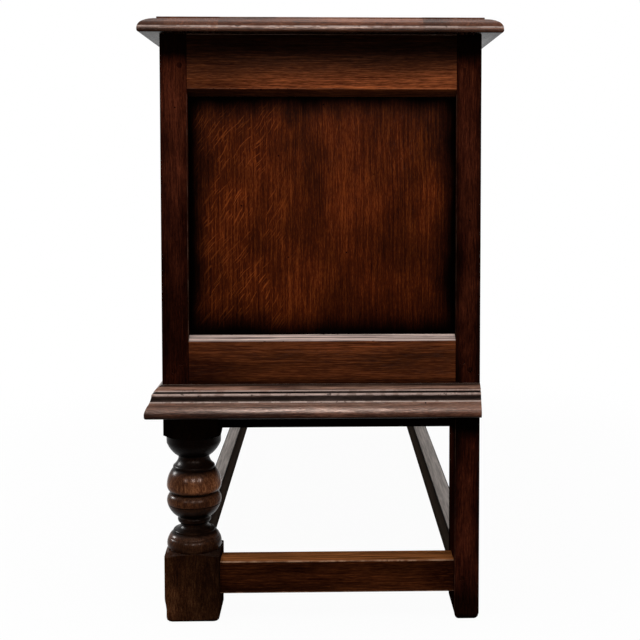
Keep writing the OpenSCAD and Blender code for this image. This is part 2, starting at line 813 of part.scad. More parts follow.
module pin_hole() {
    translate([hinge_x - hinge_l / 2 - past, hinge_y, carcase_top]) rotate([0, 90, 0])
        cylinder(r = hinge_pin_r + hinge_pin_gap, h = hinge_l + 2 * past, $fn = 48);
}

function screw_y(i) = back_y - leaf_in * (i == 1 ? 0.62 : 0.42);

// A countersunk screw that points down from the body leaf, or up from the lid leaf
module screw(i, up, extra = 0) {
    face = carcase_top + (up ? leaf_gap : -leaf_gap);
    translate([hinge_x + screw_xs[i] * hinge_l, screw_y(i), face]) mirror([0, 0, up ? 1 : 0])
        rotate_extrude($fn = 32) polygon([
            [0, 0], [screw_head_r + extra, 0], [screw_r + extra, -(screw_head_r - screw_r)],
            [screw_r + extra, -screw_l - extra], [0, -screw_l - extra]
        ]);
}

module screw_holes(up) {
    for (i = [0:len(screw_xs) - 1]) screw(i, up, peg_gap);
}

// The leaf that is fixed to the body has the even knuckles, the lid's leaf the odd ones
module hinge_leaf(up) {
    z0 = up ? carcase_top + leaf_gap : carcase_top - leaf_gap - leaf_t;
    first = up ? 1 : 0;
    color(iron) difference() {
        union() {
            difference() {
                block([hinge_x - hinge_l / 2, leaf_y, z0], [hinge_x + hinge_l / 2, hinge_y, z0 + leaf_t]);
                for (i = [1 - first:2:knuckle_count - 1])
                    knuckle(i, knuckle_r + knuckle_gap, -knuckle_gap);
            }
            for (i = [first:2:knuckle_count - 1]) knuckle(i, knuckle_r, knuckle_gap);
        }
        pin_hole();
        screw_holes(up);
    }
}

module hinge_pin() {
    color(iron) translate([hinge_x - hinge_l / 2, hinge_y, carcase_top]) rotate([0, 90, 0])
        cylinder(r = hinge_pin_r, h = hinge_l, $fn = 48);
}

module carcase_screws() {
    color(iron) both_ends() for (i = [0:len(screw_xs) - 1]) screw(i, false);
}

module lid_screws() {
    color(iron) both_ends() for (i = [0:len(screw_xs) - 1]) screw(i, true);
}

module carcase_pegs() {
    color(peg_oak) both_ends() for (front = [true, false]) {
        end_pegs(front);
        face_pegs(front);
    }
}

module lid_pegs() {
    color(peg_oak) both_ends() for (x = lid_peg_x, front = [true, false]) lid_peg(x, front);
}

module stand_pegs() {
    color(peg_oak) both_ends() {
        stretcher_peg();
        leg_dowel();
    }
}

left_of() front_leg();  // front_leg_left
front_leg();  // front_leg_right
left_of() back_post();  // back_post_left
back_post();  // back_post_right
long_stretcher(leg_x, front_stretcher_y, front_stretcher_t, front_stretcher_tenon);  // front_stretcher
long_stretcher(post_x, back_stretcher_y, back_stretcher_t, back_stretcher_tenon);  // back_stretcher
left_of() end_stretcher();  // end_stretcher_left
end_stretcher();  // end_stretcher_right
long_apron(leg_x, front_apron_y, front_apron_tenon);  // front_apron
long_apron(post_x, back_apron_y, back_apron_tenon);  // back_apron
left_of() end_apron();  // end_apron_left
end_apron();  // end_apron_right
left_of() front_stile();  // front_stile_left
front_stile();  // front_stile_right
face_rail(top_section, true, front_top_tenon);  // front_top_rail
face_rail(bottom_section, true, front_bottom_tenon);  // front_bottom_rail
left_of() muntin(true);  // front_muntin_left
muntin(true);  // front_muntin_right
face_panel(true, -1);  // front_panel_left
face_panel(true, 0);  // front_panel_centre
face_panel(true, 1);  // front_panel_right
left_of() end_rail(top_section, end_top_tenon(true), end_top_tenon(false));  // end_top_rail_left
end_rail(top_section, end_top_tenon(true), end_top_tenon(false));  // end_top_rail_right
left_of() end_rail(bottom_section, end_bottom_tenon(true), end_bottom_tenon(false));  // end_bottom_rail_left
end_rail(bottom_section, end_bottom_tenon(true), end_bottom_tenon(false));  // end_bottom_rail_right
left_of() end_panel();  // end_panel_left
end_panel();  // end_panel_right
face_rail(top_section, false, back_top_tenon);  // back_top_rail
face_rail(bottom_section, false, back_bottom_tenon);  // back_bottom_rail
left_of() muntin(false);  // back_muntin_left
muntin(false);  // back_muntin_right
face_panel(false, -1);  // back_panel_left
face_panel(false, 0);  // back_panel_centre
face_panel(false, 1);  // back_panel_right
base_moulding_front();
left_of() base_moulding_end();  // base_moulding_left
base_moulding_end();  // base_moulding_right
floor_boards();
floor_battens();
floor_bearers();
lid_long_rail(true);  // lid_front_rail
lid_long_rail(false);  // lid_back_rail
left_of() lid_end_rail();  // lid_end_rail_left
lid_end_rail();  // lid_end_rail_right
left_of() lid_muntin();  // lid_muntin_left
lid_muntin();  // lid_muntin_right
lid_panel(-1);  // lid_panel_left
lid_panel(0);  // lid_panel_centre
lid_panel(1);  // lid_panel_right
left_of() hinge_leaf(false);  // hinge_body_leaf_left
hinge_leaf(false);  // hinge_body_leaf_right
left_of() hinge_leaf(true);  // hinge_lid_leaf_left
hinge_leaf(true);  // hinge_lid_leaf_right
left_of() hinge_pin();  // hinge_pin_left
hinge_pin();  // hinge_pin_right
carcase_screws();
lid_screws();
carcase_pegs();
lid_pegs();
stand_pegs();
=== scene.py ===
"""Worn, waxed oak for a packed blanket chest, laid out as an add-on and run as a script."""

import math

import bmesh
import bpy
from bpy.props import FloatProperty, FloatVectorProperty, IntProperty, PointerProperty
from bpy.types import Operator, Panel, PropertyGroup
from mathutils import Matrix, Vector


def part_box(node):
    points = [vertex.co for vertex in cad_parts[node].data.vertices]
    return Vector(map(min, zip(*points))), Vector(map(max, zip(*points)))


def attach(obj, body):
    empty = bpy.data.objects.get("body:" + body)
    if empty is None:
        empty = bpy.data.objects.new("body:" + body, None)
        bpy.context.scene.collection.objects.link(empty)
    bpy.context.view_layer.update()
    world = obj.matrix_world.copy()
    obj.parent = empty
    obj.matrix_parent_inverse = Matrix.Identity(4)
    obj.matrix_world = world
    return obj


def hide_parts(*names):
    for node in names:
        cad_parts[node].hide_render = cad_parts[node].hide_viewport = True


bl_info = {
    "name": "Oak blanket chest",
    "version": (1, 0, 0),
    "blender": (4, 5, 0),
    "location": "3D View > Sidebar > Chest",
    "description": "Dresses the frame of a panelled oak chest in worn and waxed wood",
    "category": "Object",
}

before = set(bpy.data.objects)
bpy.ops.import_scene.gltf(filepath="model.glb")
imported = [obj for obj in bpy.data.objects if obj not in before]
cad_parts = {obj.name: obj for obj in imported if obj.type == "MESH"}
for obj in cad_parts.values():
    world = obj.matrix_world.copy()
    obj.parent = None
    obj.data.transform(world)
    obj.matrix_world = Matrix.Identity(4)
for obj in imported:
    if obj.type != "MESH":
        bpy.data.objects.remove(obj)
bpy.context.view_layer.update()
MM = 0.001

# The chest's own lines, read from the frame
BODY_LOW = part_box("front_bottom_rail")[0]
STILE_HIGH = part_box("front_stile_right")[1]
PANEL_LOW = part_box("end_panel_right")[0]
RAIL_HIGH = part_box("end_bottom_rail_right")[1]
TOP_RAIL_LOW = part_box("end_top_rail_right")[0]
MOULDING_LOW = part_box("base_moulding_front")[0]
LEG_LOW, LEG_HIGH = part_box("front_leg_right")
LID_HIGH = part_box("lid_front_rail")[1]
CARCASE_TOP = STILE_HIGH.z
STAND_TOP = LEG_HIGH.z
FOOT_HEIGHT = 91 * MM
BLOCK_HEIGHT = 48.2 * MM
FOOT_TOP = LEG_LOW.z + FOOT_HEIGHT
BLOCK_LOW = STAND_TOP - BLOCK_HEIGHT

# The room inside, a little past the panels' inner faces
INSIDE = Vector((PANEL_LOW.x + 0.002, abs(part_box("front_panel_centre")[1].y) + 0.002, STAND_TOP + 0.001))
AXES = {"X": Vector((1, 0, 0)), "Y": Vector((0, 1, 0)), "Z": Vector((0, 0, 1))}

# An upright meets the bottom rail between the first two heights, and the top rail over the third
JOINT_LEVELS = (STAND_TOP - 20 * MM, RAIL_HIGH.z - 9.5 * MM, TOP_RAIL_LOW.z + 3 * MM)

# The lid's moulded edge has painted shade under the first height and a painted highlight line between the
# other two
NOSE_SHADE_AND_HIGHLIGHT = (LID_HIGH.z - 17.3 * MM, LID_HIGH.z - 15.4 * MM, LID_HIGH.z - 13.4 * MM)
LID_BRIM = 6.5 * MM

# Bands of the base moulding, over its foot
LOWER_ROUND = (6 * MM, 20 * MM)
LOWER_ROUND_SPAN = 14 * MM
LIP = (20.4 * MM, 21.8 * MM)
BEAD = (29.1 * MM, 31.4 * MM)
GROOVE = (32.35 * MM, 33.5 * MM)
BEVEL_FOOT = (33.75 * MM, 35.7 * MM)
LIP_LEVELS = tuple(MOULDING_LOW.z + height for height in LIP)
ROUND_DROP = 1.9 * MM
GROOVE_CUT = 2.4 * MM
GROOVE_OUT = 5 * MM

# Painted shade, with some soiling, on the base moulding by shares of its height: the middle, the reach, the
# amount and the power
GROOVE_DIRT_AND_SHADE = ((0.0, 0.2, 0.95, 1.3), (0.6, 0.12, 0.95, 3), (0.772, 0.03, 0.98, 6), (1.0, 0.088, 0.92, 4))

# Soiling and painted shade on a turned leg's forms by shares of its height: the start, the end and the amount
LEG_FORMS = ((0.0, 0.11, 0.6), (0.11, 0.17, 0.5), (0.17, 0.4, 0.85), (0.4, 0.497, 0.6), (0.497, 0.705, 0.0),
             (0.705, 1.0, 0.92))
POST_SHADE_HEIGHT = 99 * MM
CHAMFER_DROP = 1.2 * MM
CHAMFER_RISE = 0.9 * MM
CHAMFER_REACH = 12 * MM
FOOT_REACH = 33 * MM
NEAR = 0.01 * MM

# Repeats of the oak's marks in a metre: along the grain, across it and through the board
SWAY = (3, 11, 11)
BROAD = (5, 30, 30)
STRIPES = (20, 640, 640)
DASHES = (55, 700, 700)
FINE = (190, 1300, 1300)
PORES = (85, 1250, 1250)
RAYS = (38, 600, 30)
RAY_BEND = (7, 7, 7)
RAY_PATCHES = (14, 26, 26)
BLOTCHES = (7, 13, 13)
KNOT_RIPPLES = (160, 420, 420)
WAX_STREAKS = (14, 380, 380)

# Repeats of wear in a metre, alike in every direction
SCUFFS = (60, 60, 60)
NICKS = (170, 170, 170)
DENTS = (95, 95, 95)
WORM_HOLES = 11.0

# Metres between year rings, and from a board's middle to the heart that they run round
YEAR_RING = 0.0042
HEART_DEPTH = 0.09

RUST = (0.07, 0.026, 0.012, 1)
FLOOR_SIZE = 9


def length(name, description, value):
    """A length that a user can change."""
    return FloatProperty(name=name, description=description, default=value, unit="LENGTH")


def colour(name, description, *rgb):
    """A colour that a user can change."""
    return FloatVectorProperty(
        name=name, description=description, subtype="COLOR", default=rgb, min=0, max=1,
    )


class ChestSizes(PropertyGroup):
    """Sizes of the wear and of the softened edges."""

    arris: length("Arris", "Width of the softened long edges", 0.9 * MM)
    seam: length("Seam", "Width of the dirty line round the ends of a joined board", 0.3 * MM)
    foot_wear: length("Foot wear", "How far the legs' feet are rubbed back near the floor", 1.6 * MM)
    leg_foot: length("Leg foot", "Rounding under a turned leg", 6.5 * MM)
    post_foot: length("Post foot", "Rounding under a back post", 10 * MM)
    block: length("Block", "Rounding under the block at the head of a turned leg", 14 * MM)
    steps: IntProperty(name="Steps", description="Facets across a softened edge", default=3, min=1, max=4)


class ChestColours(PropertyGroup):
    """Colours of the stained oak, its wear, the bare wood inside and the iron."""

    frame_dark: colour("Frame, dark", "Pores and dark streaks of the frame", 0.009, 0.0014, 0.0006)
    frame_mid: colour("Frame, middle", "Body colour of the frame", 0.045, 0.0112, 0.0034)
    frame_pale: colour("Frame, pale", "Pale streaks of the frame", 0.115, 0.03, 0.0085)
    stile_dark: colour("Stile, dark", "Pores and dark streaks of the stiles", 0.009, 0.0016, 0.0009)
    stile_mid: colour("Stile, middle", "Body colour of the stiles and posts", 0.043, 0.009, 0.0042)
    stile_pale: colour("Stile, pale", "Pale streaks of the stiles", 0.105, 0.023, 0.0095)
    panel_dark: colour("Panel, dark", "Pores and dark streaks of the panels", 0.016, 0.0022, 0.0005)
    panel_mid: colour("Panel, middle", "Body colour of the panels", 0.06, 0.0095, 0.002)
    panel_pale: colour("Panel, pale", "Pale streaks and flecks of the panels", 0.16, 0.033, 0.006)
    leg_dark: colour("Leg, dark", "Pores and dark streaks of the turned legs", 0.02, 0.0055, 0.0024)
    leg_mid: colour("Leg, middle", "Body colour of the turned legs", 0.085, 0.028, 0.0105)
    leg_pale: colour("Leg, pale", "Pale streaks of the turned legs", 0.21, 0.085, 0.034)
    # Painted highlight lines on the end stretchers' arrises, partly honed wood
    honed_and_highlit: colour("Honed", "Rubbed arrises of the end stretchers", 0.5, 0.28, 0.17)
    # Painted reflection and highlight on the mouldings' upper sides, partly burnished wood
    burnished_and_highlit: colour("Burnished", "Upper sides of the mouldings", 0.5, 0.285, 0.2)
    # Painted highlight on the bottom rails' chamfers, partly scuffs
    scuffed_and_highlit: colour("Scuffed", "Pale chamfers that catch the light", 0.66, 0.5, 0.44)
    # Greyish wax haze with painted reflection and highlight on what faces up; also the painted highlight
    # lines of the mouldings and the lid
    bloom: colour("Bloom", "Greyish wax bloom on what faces up", 0.47, 0.345, 0.3)
    # Grey of the long stretchers' inner sides: dusty, and partly painted reflection
    dust_and_reflection: colour("Dust And Reflection", "Grey dust on the inner sides of the long stretchers", 0.095, 0.076, 0.06)
    # Painted reflection: the pale grey tops of the long stretchers
    ashen_reflection: colour("Ashen", "Pale grey tops of the long stretchers", 0.52, 0.475, 0.445)
    # Painted light: the lit tops of the end stretchers, partly rubbed
    rubbed: colour("Rubbed", "Rubbed tops of the end stretchers", 0.4, 0.14, 0.042)
    # Rubbed arrises, partly painted highlight lines
    worn: colour("Worn", "Rubbed arrises", 0.20, 0.115, 0.08)
    # Black soiling, and the painted shade under the lid, under the carcase, in hollows and grooves and on
    # what faces down
    grime_and_shade: colour("Grime And Shade", "Black dirt in corners and below", 0.0009, 0.0005, 0.0004)
    bare: colour("Bare oak", "Unstained wood inside the chest", 0.2, 0.105, 0.05)
    moulding_dark: colour("Moulding, dark", "Pores and dark streaks of the base moulding", 0.014, 0.0035,
                          0.0018)
    moulding_mid: colour("Moulding, middle", "Body colour of the base moulding", 0.078, 0.025, 0.0125)
    moulding_pale: colour("Moulding, pale", "Pale streaks of the base moulding", 0.23, 0.095, 0.057)
    lid_dark: colour("Lid, dark", "Pores and dark streaks of the lid", 0.03, 0.010, 0.006)
    lid_mid: colour("Lid, middle", "Body colour of the lid", 0.15, 0.05, 0.024)
    lid_pale: colour("Lid, pale", "Pale streaks of the lid", 0.25, 0.105, 0.06)
    wax: colour("Wax", "Tint of the wax's reflections, looked at squarely", 0.85, 0.65, 0.56)
    iron: colour("Iron", "Dark waxed iron of the hinges", 0.045, 0.041, 0.038)


class ChestStage(PropertyGroup):
    """Camera, lamps and floor."""

    camera_place: FloatVectorProperty(
        name="Camera", description="Place of the camera", subtype="TRANSLATION",
        default=(STILE_HIGH.x + 1.48095, 0.00712, 0.59285),
    )
    camera_turn: FloatProperty(
        name="Turn", description="How far the camera turns to its right from the end-on view",
        default=math.radians(1.59), unit="ROTATION",
    )
    camera_tilt: FloatProperty(
        name="Tilt", description="How far the camera looks down", default=math.radians(2.91), unit="ROTATION"
    )
    lens: FloatProperty(name="Lens", description="Focal length", default=64.69, unit="CAMERA")
    shift: FloatVectorProperty(name="Shift", description="Lens shift", size=2, default=(-0.0607, -0.1437))
    softbox: FloatVectorProperty(
        name="Softbox", description="Length and width of the lamp overhead", size=2, default=(3.2, 2.4),
        unit="LENGTH"
    )
    softbox_place: FloatVectorProperty(
        name="Softbox place", description="Where the lamp overhead hangs", size=2, default=(0.45, -0.4),
        unit="LENGTH"
    )
    softbox_height: length("Softbox height", "Height of the lamp overhead", 2.3)
    softbox_power: FloatProperty(name="Softbox power", description="Power of the lamp", default=46.0,
                                 unit="POWER")
    end_lamp: FloatVectorProperty(
        name="End lamp", description="Place of the lamp before the end", subtype="TRANSLATION",
        default=(3.3, -0.05, 1.65)
    )
    side_lamp: FloatVectorProperty(
        name="Side lamp", description="Place of the lamp behind the end", subtype="TRANSLATION",
        default=(3.0, 1.3, 1.65)
    )
    corner_lamp: FloatVectorProperty(
        name="Corner lamp", description="Place of the lamp before the front corner", subtype="TRANSLATION",
        default=(3.1, -1.75, 1.65),
    )
    front_lamp: FloatVectorProperty(
        name="Front lamp", description="Place of the lamp before the front", subtype="TRANSLATION",
        default=(-0.7, -3.3, 1.7)
    )
    lamp_size: length("Lamp size", "Side of a small lamp", 0.45)
    lamp_power: FloatProperty(name="Lamp power", description="Power of a small lamp", default=220.0,
                              unit="POWER")
    ambient: FloatProperty(name="Ambient", description="Strength of the light from all round", default=0.42)


class Sheet:
    """A node tree, with short calls that add nodes and link them."""

    def __init__(self, tree):
        self.tree = tree

    def fill(self, socket, item):
        """Links another socket to this one, or sets its value."""
        if isinstance(item, bpy.types.NodeSocket):
            self.tree.links.new(item, socket)
        else:
            socket.default_value = item

    def put(self, kind, inputs=None, **settings):
        """Adds a node, sets its settings, and links or fills its inputs."""
        node = self.tree.nodes.new("ShaderNode" + kind)
        for key, value in settings.items():
            setattr(node, key, value)
        for key, value in (inputs or {}).items():
            self.fill(node.inputs[key], value)
        return node

    def sum(self, operation, *values, clamp=False):
        """A Math node."""
        return self.put("Math", dict(enumerate(values)), operation=operation, use_clamp=clamp).outputs[0]

    def vector(self, operation, *values):
        """A Vector Math node."""
        node = self.put("VectorMath", dict(enumerate(values)), operation=operation)
        return node.outputs["Value" if operation == "LENGTH" else "Vector"]

    def ramp(self, value, low, high, to_low=0.0, to_high=1.0, smooth=True):
        """A Map Range node between two values."""
        values = {"Value": value, "From Min": low, "From Max": high, "To Min": to_low, "To Max": to_high}
        kind = "SMOOTHSTEP" if smooth else "LINEAR"
        return self.put("MapRange", values, interpolation_type=kind, clamp=True).outputs["Result"]

    def blend(self, amount, under, over):
        """A colour Mix node."""
        return self.put("Mix", {0: amount, 6: under, 7: over}, data_type="RGBA").outputs[2]

    def grey(self, value):
        """The same number three times, as a vector."""
        return self.put("CombineXYZ", {0: value, 1: value, 2: value}).outputs[0]

    def noise(self, place, stretch, detail=2.0, rough=0.5):
        """Noise in stretched coordinates, as a value round a half."""
        spread = self.vector("MULTIPLY", place, stretch)
        return self.put(
            "TexNoise", {"Vector": spread, "Scale": 1.0, "Detail": detail, "Roughness": rough},
        ).outputs["Fac"]

    def parts(self, place):
        """The three numbers of a vector."""
        return list(self.put("SeparateXYZ", {0: place}).outputs)


def group_tree(name, inputs, outputs):
    """An empty node group with its sockets, its inputs' node and its outputs' node."""
    tree = bpy.data.node_groups.new(name, "ShaderNodeTree")
    for kind, label in inputs:
        tree.interface.new_socket(label, in_out="INPUT", socket_type="NodeSocket" + kind)
    for kind, label in outputs:
        tree.interface.new_socket(label, in_out="OUTPUT", socket_type="NodeSocket" + kind)
    return tree, tree.nodes.new("NodeGroupInput").outputs, tree.nodes.new("NodeGroupOutput").inputs


def oak_figure():
    """Figure of oak on a place whose first number runs along the grain."""
    tree, given, made = group_tree(
        "oak figure",
        [("Vector", "Place"), ("Float", "Fleck Slope")],
        [("Float", "Tone"), ("Float", "Pores"), ("Float", "Rays"), ("Float", "Blotch")],
    )
    s = Sheet(tree)
    place = given["Place"]
    sway = s.vector("SUBTRACT", s.put("TexNoise", {
        "Vector": s.vector("MULTIPLY", place, SWAY), "Scale": 1.0, "Detail": 2.0,
    }).outputs["Color"], (0.5, 0.5, 0.5))
    swayed = s.vector("ADD", place, s.vector("MULTIPLY", sway, (0, 0.014, 0.014)))
    across, deep = s.parts(swayed)[1:]
    # Year rings round a heart that lies outside the board
    heart = s.put("CombineXYZ", {0: 0.0, 1: across, 2: s.sum("ADD", deep, HEART_DEPTH)}).outputs[0]
    ring = s.sum("SINE", s.sum("MULTIPLY", s.vector("LENGTH", heart), 2 * math.pi / YEAR_RING))
    broad = s.noise(swayed, BROAD, 2.0, 0.5)
    stripes = s.noise(swayed, STRIPES, 2.0, 0.5)
    dashes = s.noise(swayed, DASHES, 3.0, 0.6)
    fine = s.noise(place, FINE, 2.0, 0.6)
    tone = s.sum("MULTIPLY", broad, 0.5)
    tone = s.sum("MULTIPLY_ADD", stripes, 0.75, tone)
    tone = s.sum("MULTIPLY_ADD", dashes, 0.9, tone)
    tone = s.sum("MULTIPLY_ADD", fine, 0.85, tone)
    tone = s.sum("MULTIPLY_ADD", ring, 0.055, tone)
    s.tree.links.new(s.ramp(tone, 1.12, 1.91, smooth=False), made["Tone"])
    pores = s.ramp(s.noise(place, PORES, 1.0), 0.57, 0.68)
    s.tree.links.new(s.sum("MULTIPLY", pores, s.ramp(ring, -0.6, 0.8, 1.0, 0.4)), made["Pores"])
    # Medullary rays cross the grain on a slope
    slant = s.put("VectorRotate", {"Vector": place, "Angle": given["Fleck Slope"]},
                  rotation_type="Z_AXIS").outputs[0]
    bend = s.put("TexNoise", {"Vector": s.vector("MULTIPLY", place, RAY_BEND), "Scale": 1.0, "Detail": 3.0})
    bend = s.vector("SUBTRACT", bend.outputs["Color"], (0.5, 0.5, 0.5))
    slant = s.vector("ADD", slant, s.vector("MULTIPLY", bend, (0, 0.042, 0)))
    rays = s.ramp(s.noise(slant, RAYS, 2.0, 0.5), 0.585, 0.65)
    rays = s.sum("MULTIPLY", rays, s.ramp(s.noise(place, RAY_PATCHES, 3.0), 0.38, 0.56))
    s.tree.links.new(rays, made["Rays"])
    s.tree.links.new(s.noise(place, BLOTCHES, 3.0, 0.6), made["Blotch"])


def oak_dress():
    """Colour, sheen, roughness and relief of stained oak, with black soiling and painted shade, rubbed
    arrises with painted highlights, greyish wax haze and painted reflection on what faces up, and the bare
    inside.
    """
    tree, given, made = group_tree(
        "oak dress",
        [("Vector", "Place"), ("Vector", "Half Size"), ("Vector", "Knot"), ("Color", "Dark"),
         ("Color", "Mid"), ("Color", "Pale"), ("Color", "Worn"), ("Color", "Grime And Shade"), ("Color", "Bare"),
         ("Float", "Fleck Slope"), ("Float", "Flecks"), ("Float", "Tone Start"), ("Float", "Tone Width"),
         ("Float", "Toning"), ("Float", "Bloom And Highlight Amount"), ("Float", "Lightness"), ("Float", "Fall Start"),
         ("Float", "Fall Reach"), ("Float", "Fall Least"), ("Float", "Shade Start"), ("Float", "Shade Reach"),
         ("Float", "Wear"), ("Float", "Fleck Side"), ("Color", "Top"), ("Color", "Wax"),
         ("Color", "Dust And Reflection"), ("Float", "Body Shade"), ("Float", "Dirt And Shade Dull"), ("Float", "Rough"),
         ("Float", "Streaks")],
        [("Color", "Colour"), ("Float", "Roughness"), ("Float", "Relief"), ("Color", "Sheen")],
    )
    s = Sheet(tree)
    figure = s.put("Group", node_tree=bpy.data.node_groups["oak figure"])
    tree.links.new(given["Place"], figure.inputs["Place"])
    tree.links.new(given["Fleck Slope"], figure.inputs["Fleck Slope"])
    tone, pores, rays, blotch = list(figure.outputs)
    where = s.put("TexCoord")
    row_x, row_y, row_z = s.parts(where.outputs["Object"])
    facing = s.parts(where.outputs["Normal"])[2]

    # A knot: its third number is its size
    knot_u, knot_v, knot_size = s.parts(given["Knot"])
    off_u, off_v, _ = s.parts(given["Place"])
    off = s.put("CombineXYZ", {
        0: s.sum("SUBTRACT", off_u, knot_u), 1: s.sum("MULTIPLY", s.sum("SUBTRACT", off_v, knot_v), 1.6),
    }).outputs[0]
    knot = s.sum("SUBTRACT", 1.0,
                 s.sum("DIVIDE", s.vector("LENGTH", off), s.sum("MAXIMUM", knot_size, 0.0001)), clamp=True)
    knot = s.sum("MULTIPLY", s.ramp(knot, 0.0, 0.7),
                 s.ramp(s.noise(given["Place"], KNOT_RIPPLES, 3.0), 0.42, 0.6, 0.5, 0.85))

    wood = s.blend(s.ramp(tone, 0.0, 0.55, smooth=False), given["Dark"], given["Mid"])
    wood = s.blend(s.ramp(tone, 0.5, 1.0, smooth=False), wood, given["Pale"])
    side = s.ramp(off_v, given["Fleck Side"], s.sum("ADD", given["Fleck Side"], 0.06))
    wood = s.blend(s.sum("MULTIPLY", s.sum("MULTIPLY", rays, given["Flecks"]), side), wood, given["Pale"])
    wood = s.blend(s.sum("MULTIPLY", pores, 0.55), wood, given["Dark"])
    wood = s.blend(knot, wood, given["Dark"])
    light = s.sum("MULTIPLY", s.ramp(blotch, 0.3, 0.7, 0.55, 1.5), given["Lightness"])
    # Painted shade by height: below Fall Start the colour is scaled towards Fall Least, so lower parts go
    # darker, or lighter where Fall Least is over one
    fall = s.ramp(row_z, given["Fall Start"], s.sum("ADD", given["Fall Start"], given["Fall Reach"]),
                  given["Fall Least"], 1.0)
    wood = s.vector("MULTIPLY", wood, s.grey(s.sum("MULTIPLY", light, fall)))

    # Dark toning towards the board's edges, painted shadow under the lid, painted shade under the carcase and
    # its moulding, and the vertex layer's soiling and painted shade in hollows and grooves
    gap = s.vector("SUBTRACT", given["Half Size"], s.vector("ABSOLUTE", given["Place"]))
    gap_u, gap_v, _ = s.parts(gap)
    rim = s.sum("SMOOTH_MIN", gap_u, gap_v, 0.035)
    rim = s.sum("ADD", rim, s.sum("MULTIPLY", s.sum("SUBTRACT", blotch, 0.5), 0.024))
    rim = s.sum("SUBTRACT", rim, given["Tone Start"])
    rim = s.sum("SUBTRACT", 1.0, s.ramp(rim, 0.0, given["Tone Width"]))
    rim = s.sum("MULTIPLY", rim, given["Toning"])
    # Painted shadow of the lid: black towards the carcase's top, from Shade Start upwards
    shade = s.sum("ADD", row_z, s.sum("MULTIPLY", s.sum("SUBTRACT", blotch, 0.5), 0.03))
    shade = s.ramp(shade, given["Shade Start"], s.sum("ADD", given["Shade Start"], given["Shade Reach"]),
                   0.0, 0.97)
    # Painted shade under the carcase: black from the Body Shade height up to just over the stand's top
    below = s.sum("ADD", row_z, s.sum("MULTIPLY", s.sum("SUBTRACT", blotch, 0.5), 0.02))
    below = s.sum("MULTIPLY",
                  s.ramp(below, given["Body Shade"], s.sum("ADD", given["Body Shade"], 0.03), 0.0, 0.99),
                  s.ramp(row_z, STAND_TOP + 0.006, STAND_TOP + 0.016, 1.0, 0.0))
    # The vertex layer lays soiling and painted shade in hollows and grooves, and below nought a dusty grey
    # that is partly painted reflection
    laid = s.put("Attribute", attribute_name="dirt_and_shade").outputs["Fac"]
    dirt_and_shade = s.sum("MULTIPLY", laid, s.ramp(blotch, 0.25, 0.5, 0.8, 1.0), clamp=True)
    # Dusty grey on the long stretchers' inner sides, partly painted reflection
    dust_and_reflection = s.sum("MULTIPLY", laid, -0.85, clamp=True)
    wood = s.blend(dust_and_reflection, wood, given["Dust And Reflection"])
    rim = s.sum("MAXIMUM", s.sum("MAXIMUM", rim, shade), s.sum("MAXIMUM", below, dirt_and_shade))
    wood = s.blend(rim, wood, given["Grime And Shade"])

    # Bare wood inside
    inside = s.sum("MULTIPLY", s.ramp(s.sum("ABSOLUTE", row_x), INSIDE.x, INSIDE.x + 0.0005, 1.0, 0.0),
                   s.ramp(s.sum("ABSOLUTE", row_y), INSIDE.y, INSIDE.y + 0.0005, 1.0, 0.0))
    inside = s.sum("MULTIPLY", inside, s.ramp(row_z, INSIDE.z, INSIDE.z + 0.0005))
    closed = s.ramp(row_z, CARCASE_TOP + 0.006, CARCASE_TOP + 0.008, 1.0, 0.0)
    inside = s.sum("MULTIPLY", inside, s.sum("MAXIMUM", closed, s.ramp(facing, -0.7, -0.4, 1.0, 0.0)))
    bare = s.vector("MULTIPLY", given["Bare"], s.grey(s.sum("MULTIPLY_ADD", tone, 0.9, 0.5)))
    wood = s.blend(inside, wood, bare)

    # Rubbed arrises with painted highlights, greyish wax haze and painted reflection on what faces up,
    # painted shade on what faces down, and a few worm holes
    outside = s.sum("SUBTRACT", 1.0, inside)
    scuffs = s.noise(where.outputs["Object"], SCUFFS, 3.0, 0.6)
    edge = s.put("Attribute", attribute_name="arris").outputs["Fac"]
    arris = s.sum("MULTIPLY", edge, s.ramp(scuffs, 0.4, 0.62, 0.25, 1.0), clamp=True)
    arris = s.sum("MULTIPLY", s.sum("MULTIPLY", arris, outside),
                  s.ramp(facing, -0.5, -0.1, 0.0, given["Wear"]))
    nicks = s.ramp(s.noise(where.outputs["Object"], NICKS, 2.0, 0.5), 0.6, 0.66)
    nicks = s.sum("MULTIPLY", s.sum("MULTIPLY", nicks, edge, clamp=True), s.ramp(scuffs, 0.5, 0.6))
    seam = s.sum("MULTIPLY", s.sum("MULTIPLY", edge, -0.9, clamp=True), outside)
    # Painted reflection and highlight, with some wax haze, on what faces up, in the Top colour
    up = s.sum("MULTIPLY", s.ramp(facing, 0.25, 0.85), given["Bloom And Highlight Amount"])
    up = s.sum("MULTIPLY", s.sum("MULTIPLY", up, s.ramp(tone, 0.0, 0.6, 0.6, 1.0)), outside)
    up = s.sum("MULTIPLY", up, s.sum("SUBTRACT", 1.0, dirt_and_shade))
    streaks = s.ramp(s.noise(given["Place"], WAX_STREAKS, 3.0, 0.6), 0.34, 0.66, 0.3, 1.7)
    streaks = s.sum("MULTIPLY_ADD", s.sum("SUBTRACT", streaks, 1.0), given["Streaks"], 1.0)
    top = s.vector("MULTIPLY", given["Top"], s.grey(streaks))
    # Painted shade: black on what faces down
    under = s.sum("MULTIPLY", s.ramp(facing, -0.75, -0.25, 0.93, 0.0), outside)
    cells = s.put("TexVoronoi", {"Vector": given["Place"], "Scale": WORM_HOLES},
                  voronoi_dimensions="2D").outputs["Distance"]
    worm = s.sum("MULTIPLY", s.ramp(cells, 0.009, 0.013, 1.0, 0.0), s.ramp(blotch, 0.4, 0.5))
    wood = s.blend(up, wood, top)
